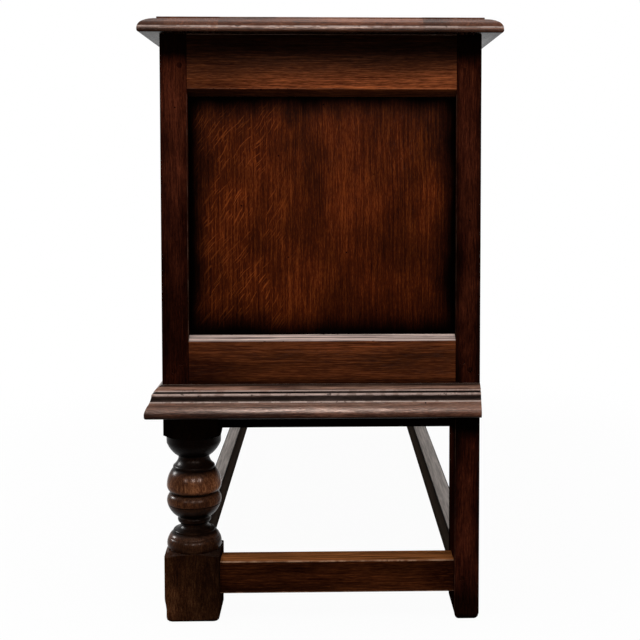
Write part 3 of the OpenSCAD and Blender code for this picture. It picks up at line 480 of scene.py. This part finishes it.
    # Rubbed arrises, partly painted highlight lines
    wood = s.blend(arris, wood, given["Worn"])
    black = s.sum("MAXIMUM", s.sum("MAXIMUM", under, worm),
                  s.sum("MAXIMUM", seam, s.sum("MULTIPLY", nicks, 0.7)))
    wood = s.blend(black, wood, given["Grime And Shade"])
    tree.links.new(wood, made["Colour"])
    # The wax's reflections fade where the painted shade and soiling lie, and lower down with the painted
    # shade by height
    polish = s.sum("SUBTRACT", 1.0, s.sum("MAXIMUM", s.sum("MULTIPLY", rim, given["Dirt And Shade Dull"]), black),
                   clamp=True)
    polish = s.sum("MULTIPLY", s.sum("MULTIPLY", polish, fall), s.ramp(tone, 0.1, 0.7, 0.55, 1.0))
    tree.links.new(s.vector("MULTIPLY", given["Wax"], s.grey(polish)), made["Sheen"])

    dents = s.ramp(s.noise(where.outputs["Object"], DENTS, 1.0, 0.4), 0.69, 0.76)
    rough = s.sum("MULTIPLY_ADD", tone, -0.12, given["Rough"])
    rough = s.sum("MULTIPLY_ADD", inside, 0.3, rough)
    rough = s.sum("MULTIPLY_ADD", rim, 0.15, rough)
    rough = s.sum("MULTIPLY_ADD", pores, 0.12, rough)
    tree.links.new(rough, made["Roughness"])
    relief = s.sum("MULTIPLY_ADD", pores, -0.7, s.sum("MULTIPLY", tone, 0.6))
    relief = s.sum("MULTIPLY_ADD", rays, 0.25, relief)
    relief = s.sum("MULTIPLY_ADD", s.sum("MAXIMUM", worm, nicks), -1.6, relief)
    relief = s.sum("MULTIPLY_ADD", dents, -0.3, relief)
    tree.links.new(relief, made["Relief"])


def oak(name, low, high, grain, flat, shades="frame", gloss=0.02, flecks=0.3, slope=38.0,
        toning=(0.0, 0.03, 0.4), bloom=0.5, lightness=1.0, fall=(0.0, 0.35, 0.7), knot=(0, 0, 0),
        shade=(CARCASE_TOP - 0.05, 0.03), wear=0.5, fleck_side=-1.0, top="bloom", body_shade=1.0,
        relief=0.4, dulls=1.0, rough=0.3, rub="worn", streaks=1.0, short=1.0):
    """Oak for one board: grain and flat are the axes of its fibres and of its thickness."""
    colours = bpy.context.scene.chest_colours
    material = bpy.data.materials.new(name)
    material.use_nodes = True
    tree = material.node_tree
    s = Sheet(tree)
    surface = tree.nodes["Principled BSDF"]
    along, deep = AXES[grain], AXES[flat]
    across = deep.cross(along)
    turn = Matrix((along, across, deep))
    middle = (low + high) / 2
    half = Vector([abs(n) for n in turn @ ((high - low) / 2)])
    place = s.put("Mapping", {
        "Vector": s.put("TexCoord").outputs["Object"], "Rotation": turn.to_euler(),
        "Location": -(turn @ middle),
    }, vector_type="POINT").outputs["Vector"]
    dress = s.put("Group", node_tree=bpy.data.node_groups["oak dress"])
    if short != 1:
        place = s.vector("MULTIPLY", place, (short, 1, 1))
    tree.links.new(place, dress.inputs["Place"])
    values = {
        "Half Size": half, "Knot": knot, "Fleck Slope": math.radians(slope), "Flecks": flecks,
        "Tone Start": toning[0], "Tone Width": toning[1], "Toning": toning[2], "Bloom And Highlight Amount": bloom,
        "Lightness": lightness, "Fall Start": fall[0], "Fall Reach": fall[1], "Fall Least": fall[2],
        "Shade Start": shade[0], "Shade Reach": shade[1], "Wear": wear, "Fleck Side": fleck_side,
        "Body Shade": body_shade, "Dirt And Shade Dull": dulls, "Rough": rough, "Streaks": streaks,
        "Dust And Reflection": (*colours.dust_and_reflection, 1),
        "Dark": (*getattr(colours, shades + "_dark"), 1), "Mid": (*getattr(colours, shades + "_mid"), 1),
        "Pale": (*getattr(colours, shades + "_pale"), 1), "Top": (*getattr(colours, top), 1),
        "Wax": (*colours.wax, 1), "Worn": (*getattr(colours, rub), 1), "Grime And Shade": (*colours.grime_and_shade, 1),
        "Bare": (*colours.bare, 1),
    }
    for key, value in values.items():
        dress.inputs[key].default_value = value
    tree.links.new(dress.outputs["Colour"], surface.inputs["Base Color"])
    tree.links.new(dress.outputs["Roughness"], surface.inputs["Roughness"])
    bump = s.put("Bump", {"Height": dress.outputs["Relief"], "Strength": relief, "Distance": 0.4 * MM})
    tree.links.new(bump.outputs["Normal"], surface.inputs["Normal"])
    surface.inputs["Specular IOR Level"].default_value = gloss
    tree.links.new(dress.outputs["Sheen"], surface.inputs["Specular Tint"])
    return material


def merged(node):
    """Copy of a node's mesh, with doubles merged and the triangles of flat faces joined."""
    work = bmesh.new()
    work.from_mesh(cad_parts[node].data)
    bmesh.ops.remove_doubles(work, verts=work.verts, dist=1e-6)
    bmesh.ops.dissolve_limit(work, angle_limit=math.radians(0.5), verts=work.verts, edges=work.edges)
    work.faces.layers.float.new("arris")
    work.verts.layers.float.new("dirt_and_shade")
    return work


def outer_edges(work, grain, shortest):
    """Edges that stand out sharply and are long enough to be rubbed, along the grain and across it."""
    sharpest = math.radians(25)
    along, across = [], []
    for edge in work.edges:
        if not edge.is_manifold or not edge.is_convex or edge.calc_length() < shortest:
            continue
        if edge.calc_face_angle() > sharpest:
            run = (edge.verts[1].co - edge.verts[0].co).normalized()
            (along if abs(run.dot(AXES[grain])) > 0.75 else across).append(edge)
    return along, across


def soften(work, edges, width, steps, mark):
    """Rounds edges and marks the new faces as worn, or as a seam below nought."""
    rubbed = work.faces.layers.float["arris"]
    made = bmesh.ops.bevel(
        work, geom=edges, offset=width, offset_type="OFFSET", affect="EDGES", segments=steps, profile=0.5,
        material=-1, clamp_overlap=True,
    )
    for face in made["faces"]:
        face[rubbed] = mark


def finish_piece(work, node, materials, body):
    """Turns a bmesh into the piece that stands for a node."""
    for face in work.faces:
        face.smooth = True
    for edge in work.edges:
        edge.smooth = edge.is_manifold and edge.calc_face_angle() < math.radians(28)
    mesh = bpy.data.meshes.new("worn_" + node)
    work.to_mesh(mesh)
    work.free()
    for material in materials:
        mesh.materials.append(material)
    piece = bpy.data.objects.new("worn_" + node, mesh)
    bpy.context.scene.collection.objects.link(piece)
    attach(piece, body)
    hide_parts(node)


def pull_in(work, ring, span, back, centre):
    """Brings a level ring of points in towards a centre."""
    bmesh.ops.scale(
        work, vec=(1 - back / span.x, 1 - back / span.y, 1), verts=ring, space=Matrix.Translation(-centre),
    )


def rub_foot(work, node, wear, rounding):
    """Knocks a foot back near the floor, mostly on its outer sides, and rounds its lower edges."""
    low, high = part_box(node)
    middle = (low + high) / 2
    span = high - low
    # A centre nearer to the chest's middle moves the outer sides most
    inner_x = middle.x - math.copysign(0.3 * span.x, middle.x)
    inner_y = middle.y - math.copysign(0.3 * span.y, middle.y)
    levels = [share * rounding for share in (0.05, 0.2, 0.5, 1)]
    levels += [share * FOOT_REACH for share in (0.5, 0.72, 0.88, 1, 3)]
    cut_across(work, [low.z + level for level in levels])
    lower = [vert for vert in work.verts if vert.co.z < low.z + FOOT_REACH - NEAR]
    for level in sorted({round(vert.co.z, 5) for vert in lower}):
        ring = [vert for vert in lower if abs(vert.co.z - level) < NEAR]
        share = min(1.0, (FOOT_REACH - level + low.z) / (0.5 * FOOT_REACH))
        pull_in(work, ring, span, 1.6 * wear * share * share * (3 - 2 * share), Vector((inner_x, inner_y, 0)))
        left = max(0.0, 1 - (level - low.z) / rounding)
        back = 2 * rounding * (1 - math.sqrt(1 - left * left))
        pull_in(work, ring, span, back, Vector((middle.x, middle.y, 0)))


def rub_block(work, low, high, rounding):
    """Rounds the lower corners of the square block at the head of a turned leg."""
    middle = (low + high) / 2
    least = (high.y - low.y) / 2
    most = least * math.sqrt(2)
    cut_across(work, [BLOCK_LOW + rounding * share for share in (0.6, 0.7, 0.85, 1.0)])
    for vert in work.verts:
        share = (vert.co.z - BLOCK_LOW) / rounding
        if 0 < share < 1:
            radius = math.hypot(vert.co.x - middle.x, vert.co.y - middle.y)
            allowed = least + (most - least) * math.sqrt(1 - (1 - share) ** 2)
            if radius > allowed:
                vert.co.x = middle.x + (vert.co.x - middle.x) * allowed / radius
                vert.co.y = middle.y + (vert.co.y - middle.y) * allowed / radius


def in_hollows(place, up, low, high):
    """Soiling and painted shade on a turned leg: most where it is thin, some on what faces down, and each
    form has its own; the foot is darker towards +Y as painted shade.
    """
    middle = (low + high) / 2
    radius = math.hypot(place.x - middle.x, place.y - middle.y) / ((high.y - low.y) / 2)
    height = (place.z - FOOT_TOP) / (BLOCK_LOW - FOOT_TOP)
    if height <= 0:
        # Painted shade: the foot darker towards +Y
        return 0.25 + 0.5 * (place.y - low.y) / (high.y - low.y)
    if height >= 1:
        return 0.0
    tone = next(amount for start, end, amount in LEG_FORMS if start <= height <= end)
    return min(0.97, max(tone, (0.99 - radius) / 0.19, -0.4 * up))


def in_grooves(place, up, low, high):
    """Painted shade, with some soiling, on the base moulding: under its nose, in its cove and groove, and
    where it meets the carcase.
    """
    height = (place.z - low.z) / (high.z - low.z)
    return max(
        amount * max(0.0, 1 - abs((height - centre) / reach) ** power)
        for centre, reach, amount, power in GROOVE_DIRT_AND_SHADE
    )


def in_foot(place, up, low, high):
    """Painted shade on a post's foot: darker towards the floor."""
    return min(0.9, 1.3 * max(0.0, 1 - (place.z - low.z) / POST_SHADE_HEIGHT))


def in_dust_and_reflection(place, up, low, high):
    """A dusty grey, below nought, on the inner side of a long stretcher, partly painted reflection."""
    return -1.0 if abs(place.y) < (abs(low.y) + abs(high.y)) / 2 else 0.0


def slimmer(place, low):
    """Makes the chamfer of an end's bottom rail a little narrower."""
    if place.z > RAIL_HIGH.z - 0.3 * MM:
        place.z -= CHAMFER_DROP
    elif abs(place.x) > STILE_HIGH.x - 0.2 * MM and place.z > RAIL_HIGH.z - CHAMFER_REACH:
        place.z += CHAMFER_RISE


def square_part(height):
    """The square parts of a turned leg have no wax left."""
    return not FOOT_TOP - 1 * MM < height < BLOCK_LOW + 1 * MM


def lid_brim(height):
    """The top of the lid and the brim over its moulded edge have little wax left."""
    return height > LID_HIGH.z - LID_BRIM


def cut_across(work, levels):
    """Cuts a mesh level through at each height, so that a shape or a mark can end there."""
    for level in levels:
        bmesh.ops.bisect_plane(
            work, geom=work.verts[:] + work.edges[:] + work.faces[:], plane_co=(0, 0, level),
            plane_no=(0, 0, 1),
        )


def at_joints(place, mark, low):
    """Where a stile or post meets a rail, its arris is a dirty joint."""
    beside = place.z > JOINT_LEVELS[2] or JOINT_LEVELS[0] < place.z < JOINT_LEVELS[1]
    return -0.5 if beside and mark > 0 else mark


def on_bead(place, mark, low):
    """The lip over the lower round, the bead and the foot of the bevel get painted highlight lines, in the
    rubbed arris colour.
    """
    height = place.z - low.z
    rubs = ((BEAD, 2.2), (LIP, 1.7), (BEVEL_FOOT, 2.2))
    return next((amount for band, amount in rubs if band[0] < height < band[1]), mark)


def on_nose(place, mark, low):
    """The moulded edge of the lid gets a painted highlight line where it stands out most, and painted shade
    below.
    """
    if place.z < NOSE_SHADE_AND_HIGHLIGHT[0]:
        return -0.6
    return 1.6 if NOSE_SHADE_AND_HIGHLIGHT[1] < place.z < NOSE_SHADE_AND_HIGHLIGHT[2] else mark


def fuller(place, low):
    """Lets the moulding's lower round fall back sooner, and cuts its groove deeper."""
    height = place.z - low.z
    out = (abs(place.x) - STILE_HIGH.x, BODY_LOW.y - place.y)
    if GROOVE[0] < height < GROOVE[1] and max(out) > GROOVE_OUT:
        if out[0] > max(out) - 0.05 * MM:
            place.x -= math.copysign(GROOVE_CUT, place.x)
        if out[1] > max(out) - 0.05 * MM:
            place.y += GROOVE_CUT
    if LOWER_ROUND[0] < height < LOWER_ROUND[1]:
        place.z -= ROUND_DROP * math.sin(math.pi * (height - LOWER_ROUND[0]) / LOWER_ROUND_SPAN) ** 0.5


def board(node, grain, flat, body="carcase", foot=None, dirt_and_shade=None, rounding=None, shortest=12 * MM, dull=None,
          dull_gloss=0.0, joined=True, shape=None, mark=1.0, rubs=None, cuts=(), **look):
    """A worn copy of one board. Dull says which heights have little wax; a joined one butts with its ends."""
    sizes = bpy.context.scene.chest_sizes
    low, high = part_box(node)
    work = merged(node)
    if shape:
        for vert in work.verts:
            shape(vert.co, low)
    along, across = outer_edges(work, grain, shortest)
    shoulders = {round(edge.verts[0].co.dot(AXES[grain]), 4) for edge in across}
    soften(work, along, rounding or sizes.arris, sizes.steps, mark)
    if joined:
        across = [
            edge for edge in outer_edges(work, grain, 0.1 * MM)[1]
            if round(edge.verts[0].co.dot(AXES[grain]), 4) in shoulders
        ]
        soften(work, across, sizes.seam, 1, -1.0)
    else:
        across = outer_edges(work, grain, shortest)[1]
        soften(work, across, rounding or sizes.arris, sizes.steps, mark)
    if foot:
        rub_foot(work, node, *foot)
    if node.startswith("front_leg"):
        rub_block(work, low, high, sizes.block)
    if dirt_and_shade:
        layer = work.verts.layers.float["dirt_and_shade"]
        work.normal_update()
        for vert in work.verts:
            vert[layer] = dirt_and_shade(vert.co, vert.normal.z, low, high)
    if rubs:
        cut_across(work, cuts)
        layer = work.faces.layers.float["arris"]
        for face in work.faces:
            face[layer] = rubs(face.calc_center_median(), face[layer], low)
    materials = [oak(node + "_oak", low, high, grain, flat, **look)]
    if dull:
        materials.append(oak(node + "_dull_oak", low, high, grain, flat, **{**look, "gloss": dull_gloss}))
        for face in work.faces:
            face.material_index = int(dull(face.calc_center_median().z))
    finish_piece(work, node, materials, body)


SIDES = ("left", "right")
FACES = ("front", "back")
PANEL_LOOK = {
    "shades": "panel", "gloss": 0.012, "toning": (0.008, 0.036, 1.0), "fall": (0.375, 0.08, 0.5),
    "flecks": 1.0, "lightness": 1.2, "fleck_side": 0.02, "slope": 35.0,
}
STILE_LOOK = {
    "shades": "stile", "gloss": 0.0, "toning": (-0.002, 0.02, 0.3), "fall": (0.34, 0.36, 0.4),
    "lightness": 1.2, "wear": 0.45, "rounding": 0.6 * MM, "flecks": 0.15, "slope": 10.0, "rubs": at_joints,
    "cuts": JOINT_LEVELS,
}
POST_LOOK = {**STILE_LOOK, "fall": (STAND_TOP - 0.03, 0.06, 1.45), "lightness": 0.72, "body_shade": 0.225,
             "toning": (-0.001, 0.012, 0.75), "wear": 0.25}
UNLIT = (CARCASE_TOP, 1.0)
UNDER_LID = (CARCASE_TOP - 0.075, 0.058)


class CHEST_OT_uprights(Operator):
    """Adds the worn front stiles and back posts"""

    bl_idname = "chest.uprights"
    bl_label = "Stiles and posts"

    def execute(self, context):
        sizes = context.scene.chest_sizes
        for side in SIDES:
            board(f"front_stile_{side}", "Z", "X", **STILE_LOOK)
            board(f"back_post_{side}", "Z", "X", foot=(0.0, sizes.post_foot), dirt_and_shade=in_foot, joined=False,
                  **POST_LOOK)
        return {"FINISHED"}


class CHEST_OT_rails(Operator):
    """Adds the worn rails and muntins of the carcase"""

    bl_idname = "chest.rails"
    bl_label = "Rails and muntins"

    def execute(self, context):
        for side in SIDES:
            board(f"end_top_rail_{side}", "Y", "X", toning=(0, 0.02, 0), bloom=0.9, lightness=4.1,
                  shade=UNDER_LID, flecks=0.25, slope=12.0, gloss=0.008, short=0.6)
            # The chamfer's pale top colour is partly a painted highlight
            board(f"end_bottom_rail_{side}", "Y", "X", toning=(0, 0.02, 0.3), bloom=1, lightness=1.9,
                  rounding=1.4 * MM, flecks=0.2, slope=12.0, gloss=0.01, top="scuffed_and_highlit",
                  knot=(-0.078, 0, 0.045), short=0.45, fall=(STAND_TOP + 25 * MM, 0.013, 0.2), shape=slimmer)
            board(f"front_muntin_{side}", "Z", "Y")
            board(f"back_muntin_{side}", "Z", "Y")
        for face in FACES:
            board(f"{face}_top_rail", "X", "Y", bloom=0.9)
            board(f"{face}_bottom_rail", "X", "Y", bloom=0.9)
        return {"FINISHED"}


class CHEST_OT_panels(Operator):
    """Adds the panels of the carcase"""

    bl_idname = "chest.panels"
    bl_label = "Panels"

    def execute(self, context):
        for side in SIDES:
            board(f"end_panel_{side}", "Z", "X", knot=(0.13, 0.04, 0.022), **PANEL_LOOK)
        for face in FACES:
            for place in ("left", "centre", "right"):
                board(f"{face}_panel_{place}", "Z", "Y", **PANEL_LOOK)
        return {"FINISHED"}


class CHEST_OT_legs(Operator):
    """Adds the turned front legs"""

    bl_idname = "chest.legs"
    bl_label = "Turned legs"

    def execute(self, context):
        sizes = context.scene.chest_sizes
        look = {"shades": "leg", "gloss": 0.045, "rough": 0.23, "short": 2.6, "toning": (0, 0.01, 0),
                "bloom": 0.05, "fall": (0.085, 0.03, 0.4), "body_shade": 0.19, "wear": 0.6,
                "lightness": 1.5, "relief": 0.06, "flecks": 0.0, "dulls": 0.85}
        for side in SIDES:
            board(f"front_leg_{side}", "Z", "X", foot=(sizes.foot_wear, sizes.leg_foot), dirt_and_shade=in_hollows,
                  dull=square_part, joined=False, **look)
        return {"FINISHED"}


class CHEST_OT_stretchers(Operator):
    """Adds the stretchers and the aprons"""

    bl_idname = "chest.stretchers"
    bl_label = "Stretchers and aprons"

    def execute(self, context):
        for side in SIDES:
            # The end stretchers' tops and arrises are partly painted light
            board(f"end_stretcher_{side}", "Y", "X", rounding=1.7 * MM, bloom=0.9, wear=0.9, top="rubbed",
                  gloss=0.0, lightness=1.85, flecks=0.1, slope=10.0, rub="honed_and_highlit", short=0.6,
                  knot=(0.096, 0, 0.05))
            board(f"end_apron_{side}", "Y", "X", body_shade=0.19, bloom=0.0, gloss=0.0, wear=0.0)
        for face in FACES:
            # The long stretchers' pale tops and dusty inner sides are partly painted reflection
            board(f"{face}_stretcher", "X", "Y", rounding=1.8 * MM, bloom=1.4, gloss=0.0, lightness=1.5,
                  top="ashen_reflection", streaks=0.35, dirt_and_shade=in_dust_and_reflection, mark=-1.0)
            board(f"{face}_apron", "X", "Y", body_shade=0.19, bloom=0.0, gloss=0.0, wear=0.0)
        return {"FINISHED"}


class CHEST_OT_mouldings(Operator):
    """Adds the base mouldings"""

    bl_idname = "chest.mouldings"
    bl_label = "Base mouldings"

    def execute(self, context):
        # The mouldings' upper sides and pale lines are partly painted reflection and highlight
        look = {"shades": "moulding", "toning": (0, 0.01, 0), "bloom": 0.45, "gloss": 0.13,
                "rounding": 1.5 * MM, "rubs": on_bead, "cuts": LIP_LEVELS, "wear": 0.9, "dirt_and_shade": in_grooves,
                "top": "burnished_and_highlit", "flecks": 0.0, "relief": 0.25, "rough": 0.32, "rub": "bloom",
                "shape": fuller, "knot": (-0.03, 0.0115, 0.006)}
        for side in SIDES:
            board(f"base_moulding_{side}", "Y", "X", **look)
        board("base_moulding_front", "X", "Y", **look)
        return {"FINISHED"}


class CHEST_OT_floor(Operator):
    """Adds the floor boards, their battens and bearers"""

    bl_idname = "chest.floor"
    bl_label = "Chest floor"

    def execute(self, context):
        board("floor_boards", "X", "Z", toning=(0, 0.01, 0))
        board("floor_battens", "X", "Z", toning=(0, 0.01, 0))
        board("floor_bearers", "Y", "Z", toning=(0, 0.01, 0))
        return {"FINISHED"}


class CHEST_OT_lid(Operator):
    """Adds the lid's rails, muntins and panels"""

    bl_idname = "chest.lid"
    bl_label = "Lid"

    def execute(self, context):
        look = {"shades": "lid", "gloss": 0.1, "rough": 0.29, "dull": lid_brim, "dull_gloss": 0.02,
                "bloom": 0.0, "wear": 0.9, "mark": 0.28, "rub": "bloom", "rubs": on_nose, "cuts": NOSE_SHADE_AND_HIGHLIGHT,
                "relief": 0.2, "shade": UNLIT, "toning": (0, 0.02, 0.2), "fall": (0, 0.1, 1),
                "lightness": 0.95}
        for side in SIDES:
            board(f"lid_end_rail_{side}", "Y", "Z", "lid", **look)
            board(f"lid_muntin_{side}", "Y", "Z", "lid", **{**look, "rubs": None})
        for face in FACES:
            board(f"lid_{face}_rail", "X", "Z", "lid", joined=False, **look)
        for place in ("left", "centre", "right"):
            board(f"lid_panel_{place}", "X", "Z", "lid",
                  **{**look, "rubs": None, "toning": (0.012, 0.03, 0.9)})
        return {"FINISHED"}


class CHEST_OT_pegs(Operator):
    """Adds the pegs"""

    bl_idname = "chest.pegs"
    bl_label = "Pegs"

    def execute(self, context):
        for node, body in (("carcase_pegs", "carcase"), ("stand_pegs", "carcase"), ("lid_pegs", "lid")):
            board(node, "Z", "X", body, shortest=0.0, joined=False, toning=(0, 0.01, 0), lightness=0.9,
                  shades="stile", fall=(0.34, 0.36, 0.4), bloom=0.0, wear=0.0, rounding=0.3 * MM, gloss=0.0)
        return {"FINISHED"}


class CHEST_OT_iron(Operator):
    """Gives the hinges and screws their waxed iron"""

    bl_idname = "chest.iron"
    bl_label = "Hinges and screws"

    def execute(self, context):
        material = bpy.data.materials.new("waxed_iron")
        material.use_nodes = True
        s = Sheet(material.node_tree)
        surface = material.node_tree.nodes["Principled BSDF"]
        place = s.put("TexCoord").outputs["Object"]
        patches = s.noise(place, (90, 90, 90), 4.0, 0.6)
        rust = s.ramp(s.noise(place, (240, 240, 240), 3.0, 0.6), 0.5, 0.68, 0.0, 0.55)
        iron = context.scene.chest_colours.iron
        darker = (iron[0] * 0.5, iron[1] * 0.5, iron[2] * 0.5, 1)
        metal = s.blend(s.ramp(patches, 0.3, 0.7), darker, (*iron, 1))
        metal = s.blend(rust, metal, RUST)
        material.node_tree.links.new(metal, surface.inputs["Base Color"])
        material.node_tree.links.new(s.ramp(patches, 0.3, 0.7, 0.62, 0.38), surface.inputs["Roughness"])
        bump = s.put("Bump", {"Height": patches, "Strength": 0.3, "Distance": 0.3 * MM})
        material.node_tree.links.new(bump.outputs["Normal"], surface.inputs["Normal"])
        surface.inputs["Metallic"].default_value = 0.85
        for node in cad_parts:
            if "hinge" in node or "screws" in node:
                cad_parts[node].data.materials[0] = material
        return {"FINISHED"}


class CHEST_OT_stage(Operator):
    """Adds the floor, the background, the lamps and the camera"""

    bl_idname = "chest.stage"
    bl_label = "Stage"

    def execute(self, context):
        stage = context.scene.chest_stage
        scene = context.scene
        scene.view_settings.view_transform = "Standard"
        self.add_camera(scene, stage)
        self.add_lamps(scene, stage)
        self.add_floor(scene)
        self.add_world(scene, stage)
        return {"FINISHED"}

    def add_camera(self, scene, stage):
        data = bpy.data.cameras.new("camera")
        data.lens = stage.lens
        data.shift_x, data.shift_y = stage.shift
        camera = bpy.data.objects.new("camera", data)
        camera.location = stage.camera_place
        camera.rotation_euler = (math.pi / 2 - stage.camera_tilt, 0, math.pi / 2 - stage.camera_turn)
        scene.collection.objects.link(camera)
        scene.camera = camera

    def add_lamps(self, scene, stage):
        data = bpy.data.lights.new("softbox", "AREA")
        data.shape = "RECTANGLE"
        data.size, data.size_y = stage.softbox
        data.energy = stage.softbox_power
        lamp = bpy.data.objects.new("softbox", data)
        lamp.location = (stage.softbox_place[0], stage.softbox_place[1], stage.softbox_height)
        scene.collection.objects.link(lamp)
        # These show as glints in the wax and light nothing else
        lamps = (("end", stage.end_lamp, 1.0), ("side", stage.side_lamp, 0.9),
                 ("corner", stage.corner_lamp, 0.5), ("front", stage.front_lamp, 1.0))
        for name, place, share in lamps:
            data = bpy.data.lights.new(name + "_lamp", "AREA")
            data.shape = "SQUARE"
            data.size = stage.lamp_size
            data.energy = stage.lamp_power * share
            lamp = bpy.data.objects.new(name + "_lamp", data)
            lamp.location = place
            lamp.rotation_euler = (Vector((0, 0, 0.5)) - lamp.location).to_track_quat("-Z", "Y").to_euler()
            lamp.visible_diffuse = False
            scene.collection.objects.link(lamp)

    def add_floor(self, scene):
        work = bmesh.new()
        bmesh.ops.create_grid(work, x_segments=1, y_segments=1, size=FLOOR_SIZE)
        mesh = bpy.data.meshes.new("studio_floor")
        work.to_mesh(mesh)
        work.free()
        floor = bpy.data.objects.new("studio_floor", mesh)
        scene.collection.objects.link(floor)
        material = bpy.data.materials.new("pale_floor")
        material.use_nodes = True
        s = Sheet(material.node_tree)
        tree = material.node_tree
        surface = tree.nodes["Principled BSDF"]
        surface.inputs["Base Color"].default_value = (0.86, 0.86, 0.86, 1)
        surface.inputs["Roughness"].default_value = 0.9
        surface.inputs["Specular IOR Level"].default_value = 0.0
        seen = self.seen_rays(s)
        glow = s.put("Emission", {"Color": (1, 1, 1, 1), "Strength": 1.0})
        far = s.vector("LENGTH", s.put("TexCoord").outputs["Object"])
        amount = s.sum("MULTIPLY", s.ramp(far, 0.6, 1.3, 0.965, 1.0), seen)
        mix = s.put("MixShader", {0: amount, 1: surface.outputs[0], 2: glow.outputs[0]})
        tree.links.new(mix.outputs[0], tree.nodes["Material Output"].inputs["Surface"])
        mesh.materials.append(material)

    def seen_rays(self, s):
        """1 for the rays that show the background: from the camera, in gloss and through glass."""
        path = s.put("LightPath")
        seen = s.sum("MAXIMUM", path.outputs["Is Camera Ray"], path.outputs["Is Glossy Ray"])
        return s.sum("MAXIMUM", seen, path.outputs["Is Transmission Ray"])

    def add_world(self, scene, stage):
        world = bpy.data.worlds.new("white_room")
        scene.world = world
        world.use_nodes = True
        tree = world.node_tree
        s = Sheet(tree)
        strength = s.ramp(self.seen_rays(s), 0.0, 1.0, stage.ambient, 1.0, smooth=False)
        sky = tree.nodes["Background"]
        sky.inputs["Color"].default_value = (1, 1, 1, 1)
        tree.links.new(strength, sky.inputs["Strength"])


class CHEST_PT_sidebar(Panel):
    """Lists the steps that dress the chest"""

    bl_idname = "CHEST_PT_sidebar"
    bl_label = "Blanket chest"
    bl_space_type = "VIEW_3D"
    bl_region_type = "UI"
    bl_category = "Chest"

    def draw(self, context):
        for step in STEPS:
            self.layout.operator(step.bl_idname)


STEPS = (
    CHEST_OT_stage, CHEST_OT_uprights, CHEST_OT_rails, CHEST_OT_panels, CHEST_OT_legs, CHEST_OT_stretchers,
    CHEST_OT_mouldings, CHEST_OT_floor, CHEST_OT_lid, CHEST_OT_pegs, CHEST_OT_iron,
)
GROUPS = (ChestSizes, ChestColours, ChestStage)


def register():
    for item in (*GROUPS, *STEPS, CHEST_PT_sidebar):
        bpy.utils.register_class(item)
    bpy.types.Scene.chest_sizes = PointerProperty(type=ChestSizes)
    bpy.types.Scene.chest_colours = PointerProperty(type=ChestColours)
    bpy.types.Scene.chest_stage = PointerProperty(type=ChestStage)


def unregister():
    del bpy.types.Scene.chest_stage
    del bpy.types.Scene.chest_colours
    del bpy.types.Scene.chest_sizes
    for item in reversed((*GROUPS, *STEPS, CHEST_PT_sidebar)):
        bpy.utils.unregister_class(item)


def main():
    """Registers the add-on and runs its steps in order."""
    register()
    oak_figure()
    oak_dress()
    for step in STEPS:
        group, name = step.bl_idname.split(".")
        getattr(getattr(bpy.ops, group), name)()


if __name__ == "__main__":
    main()
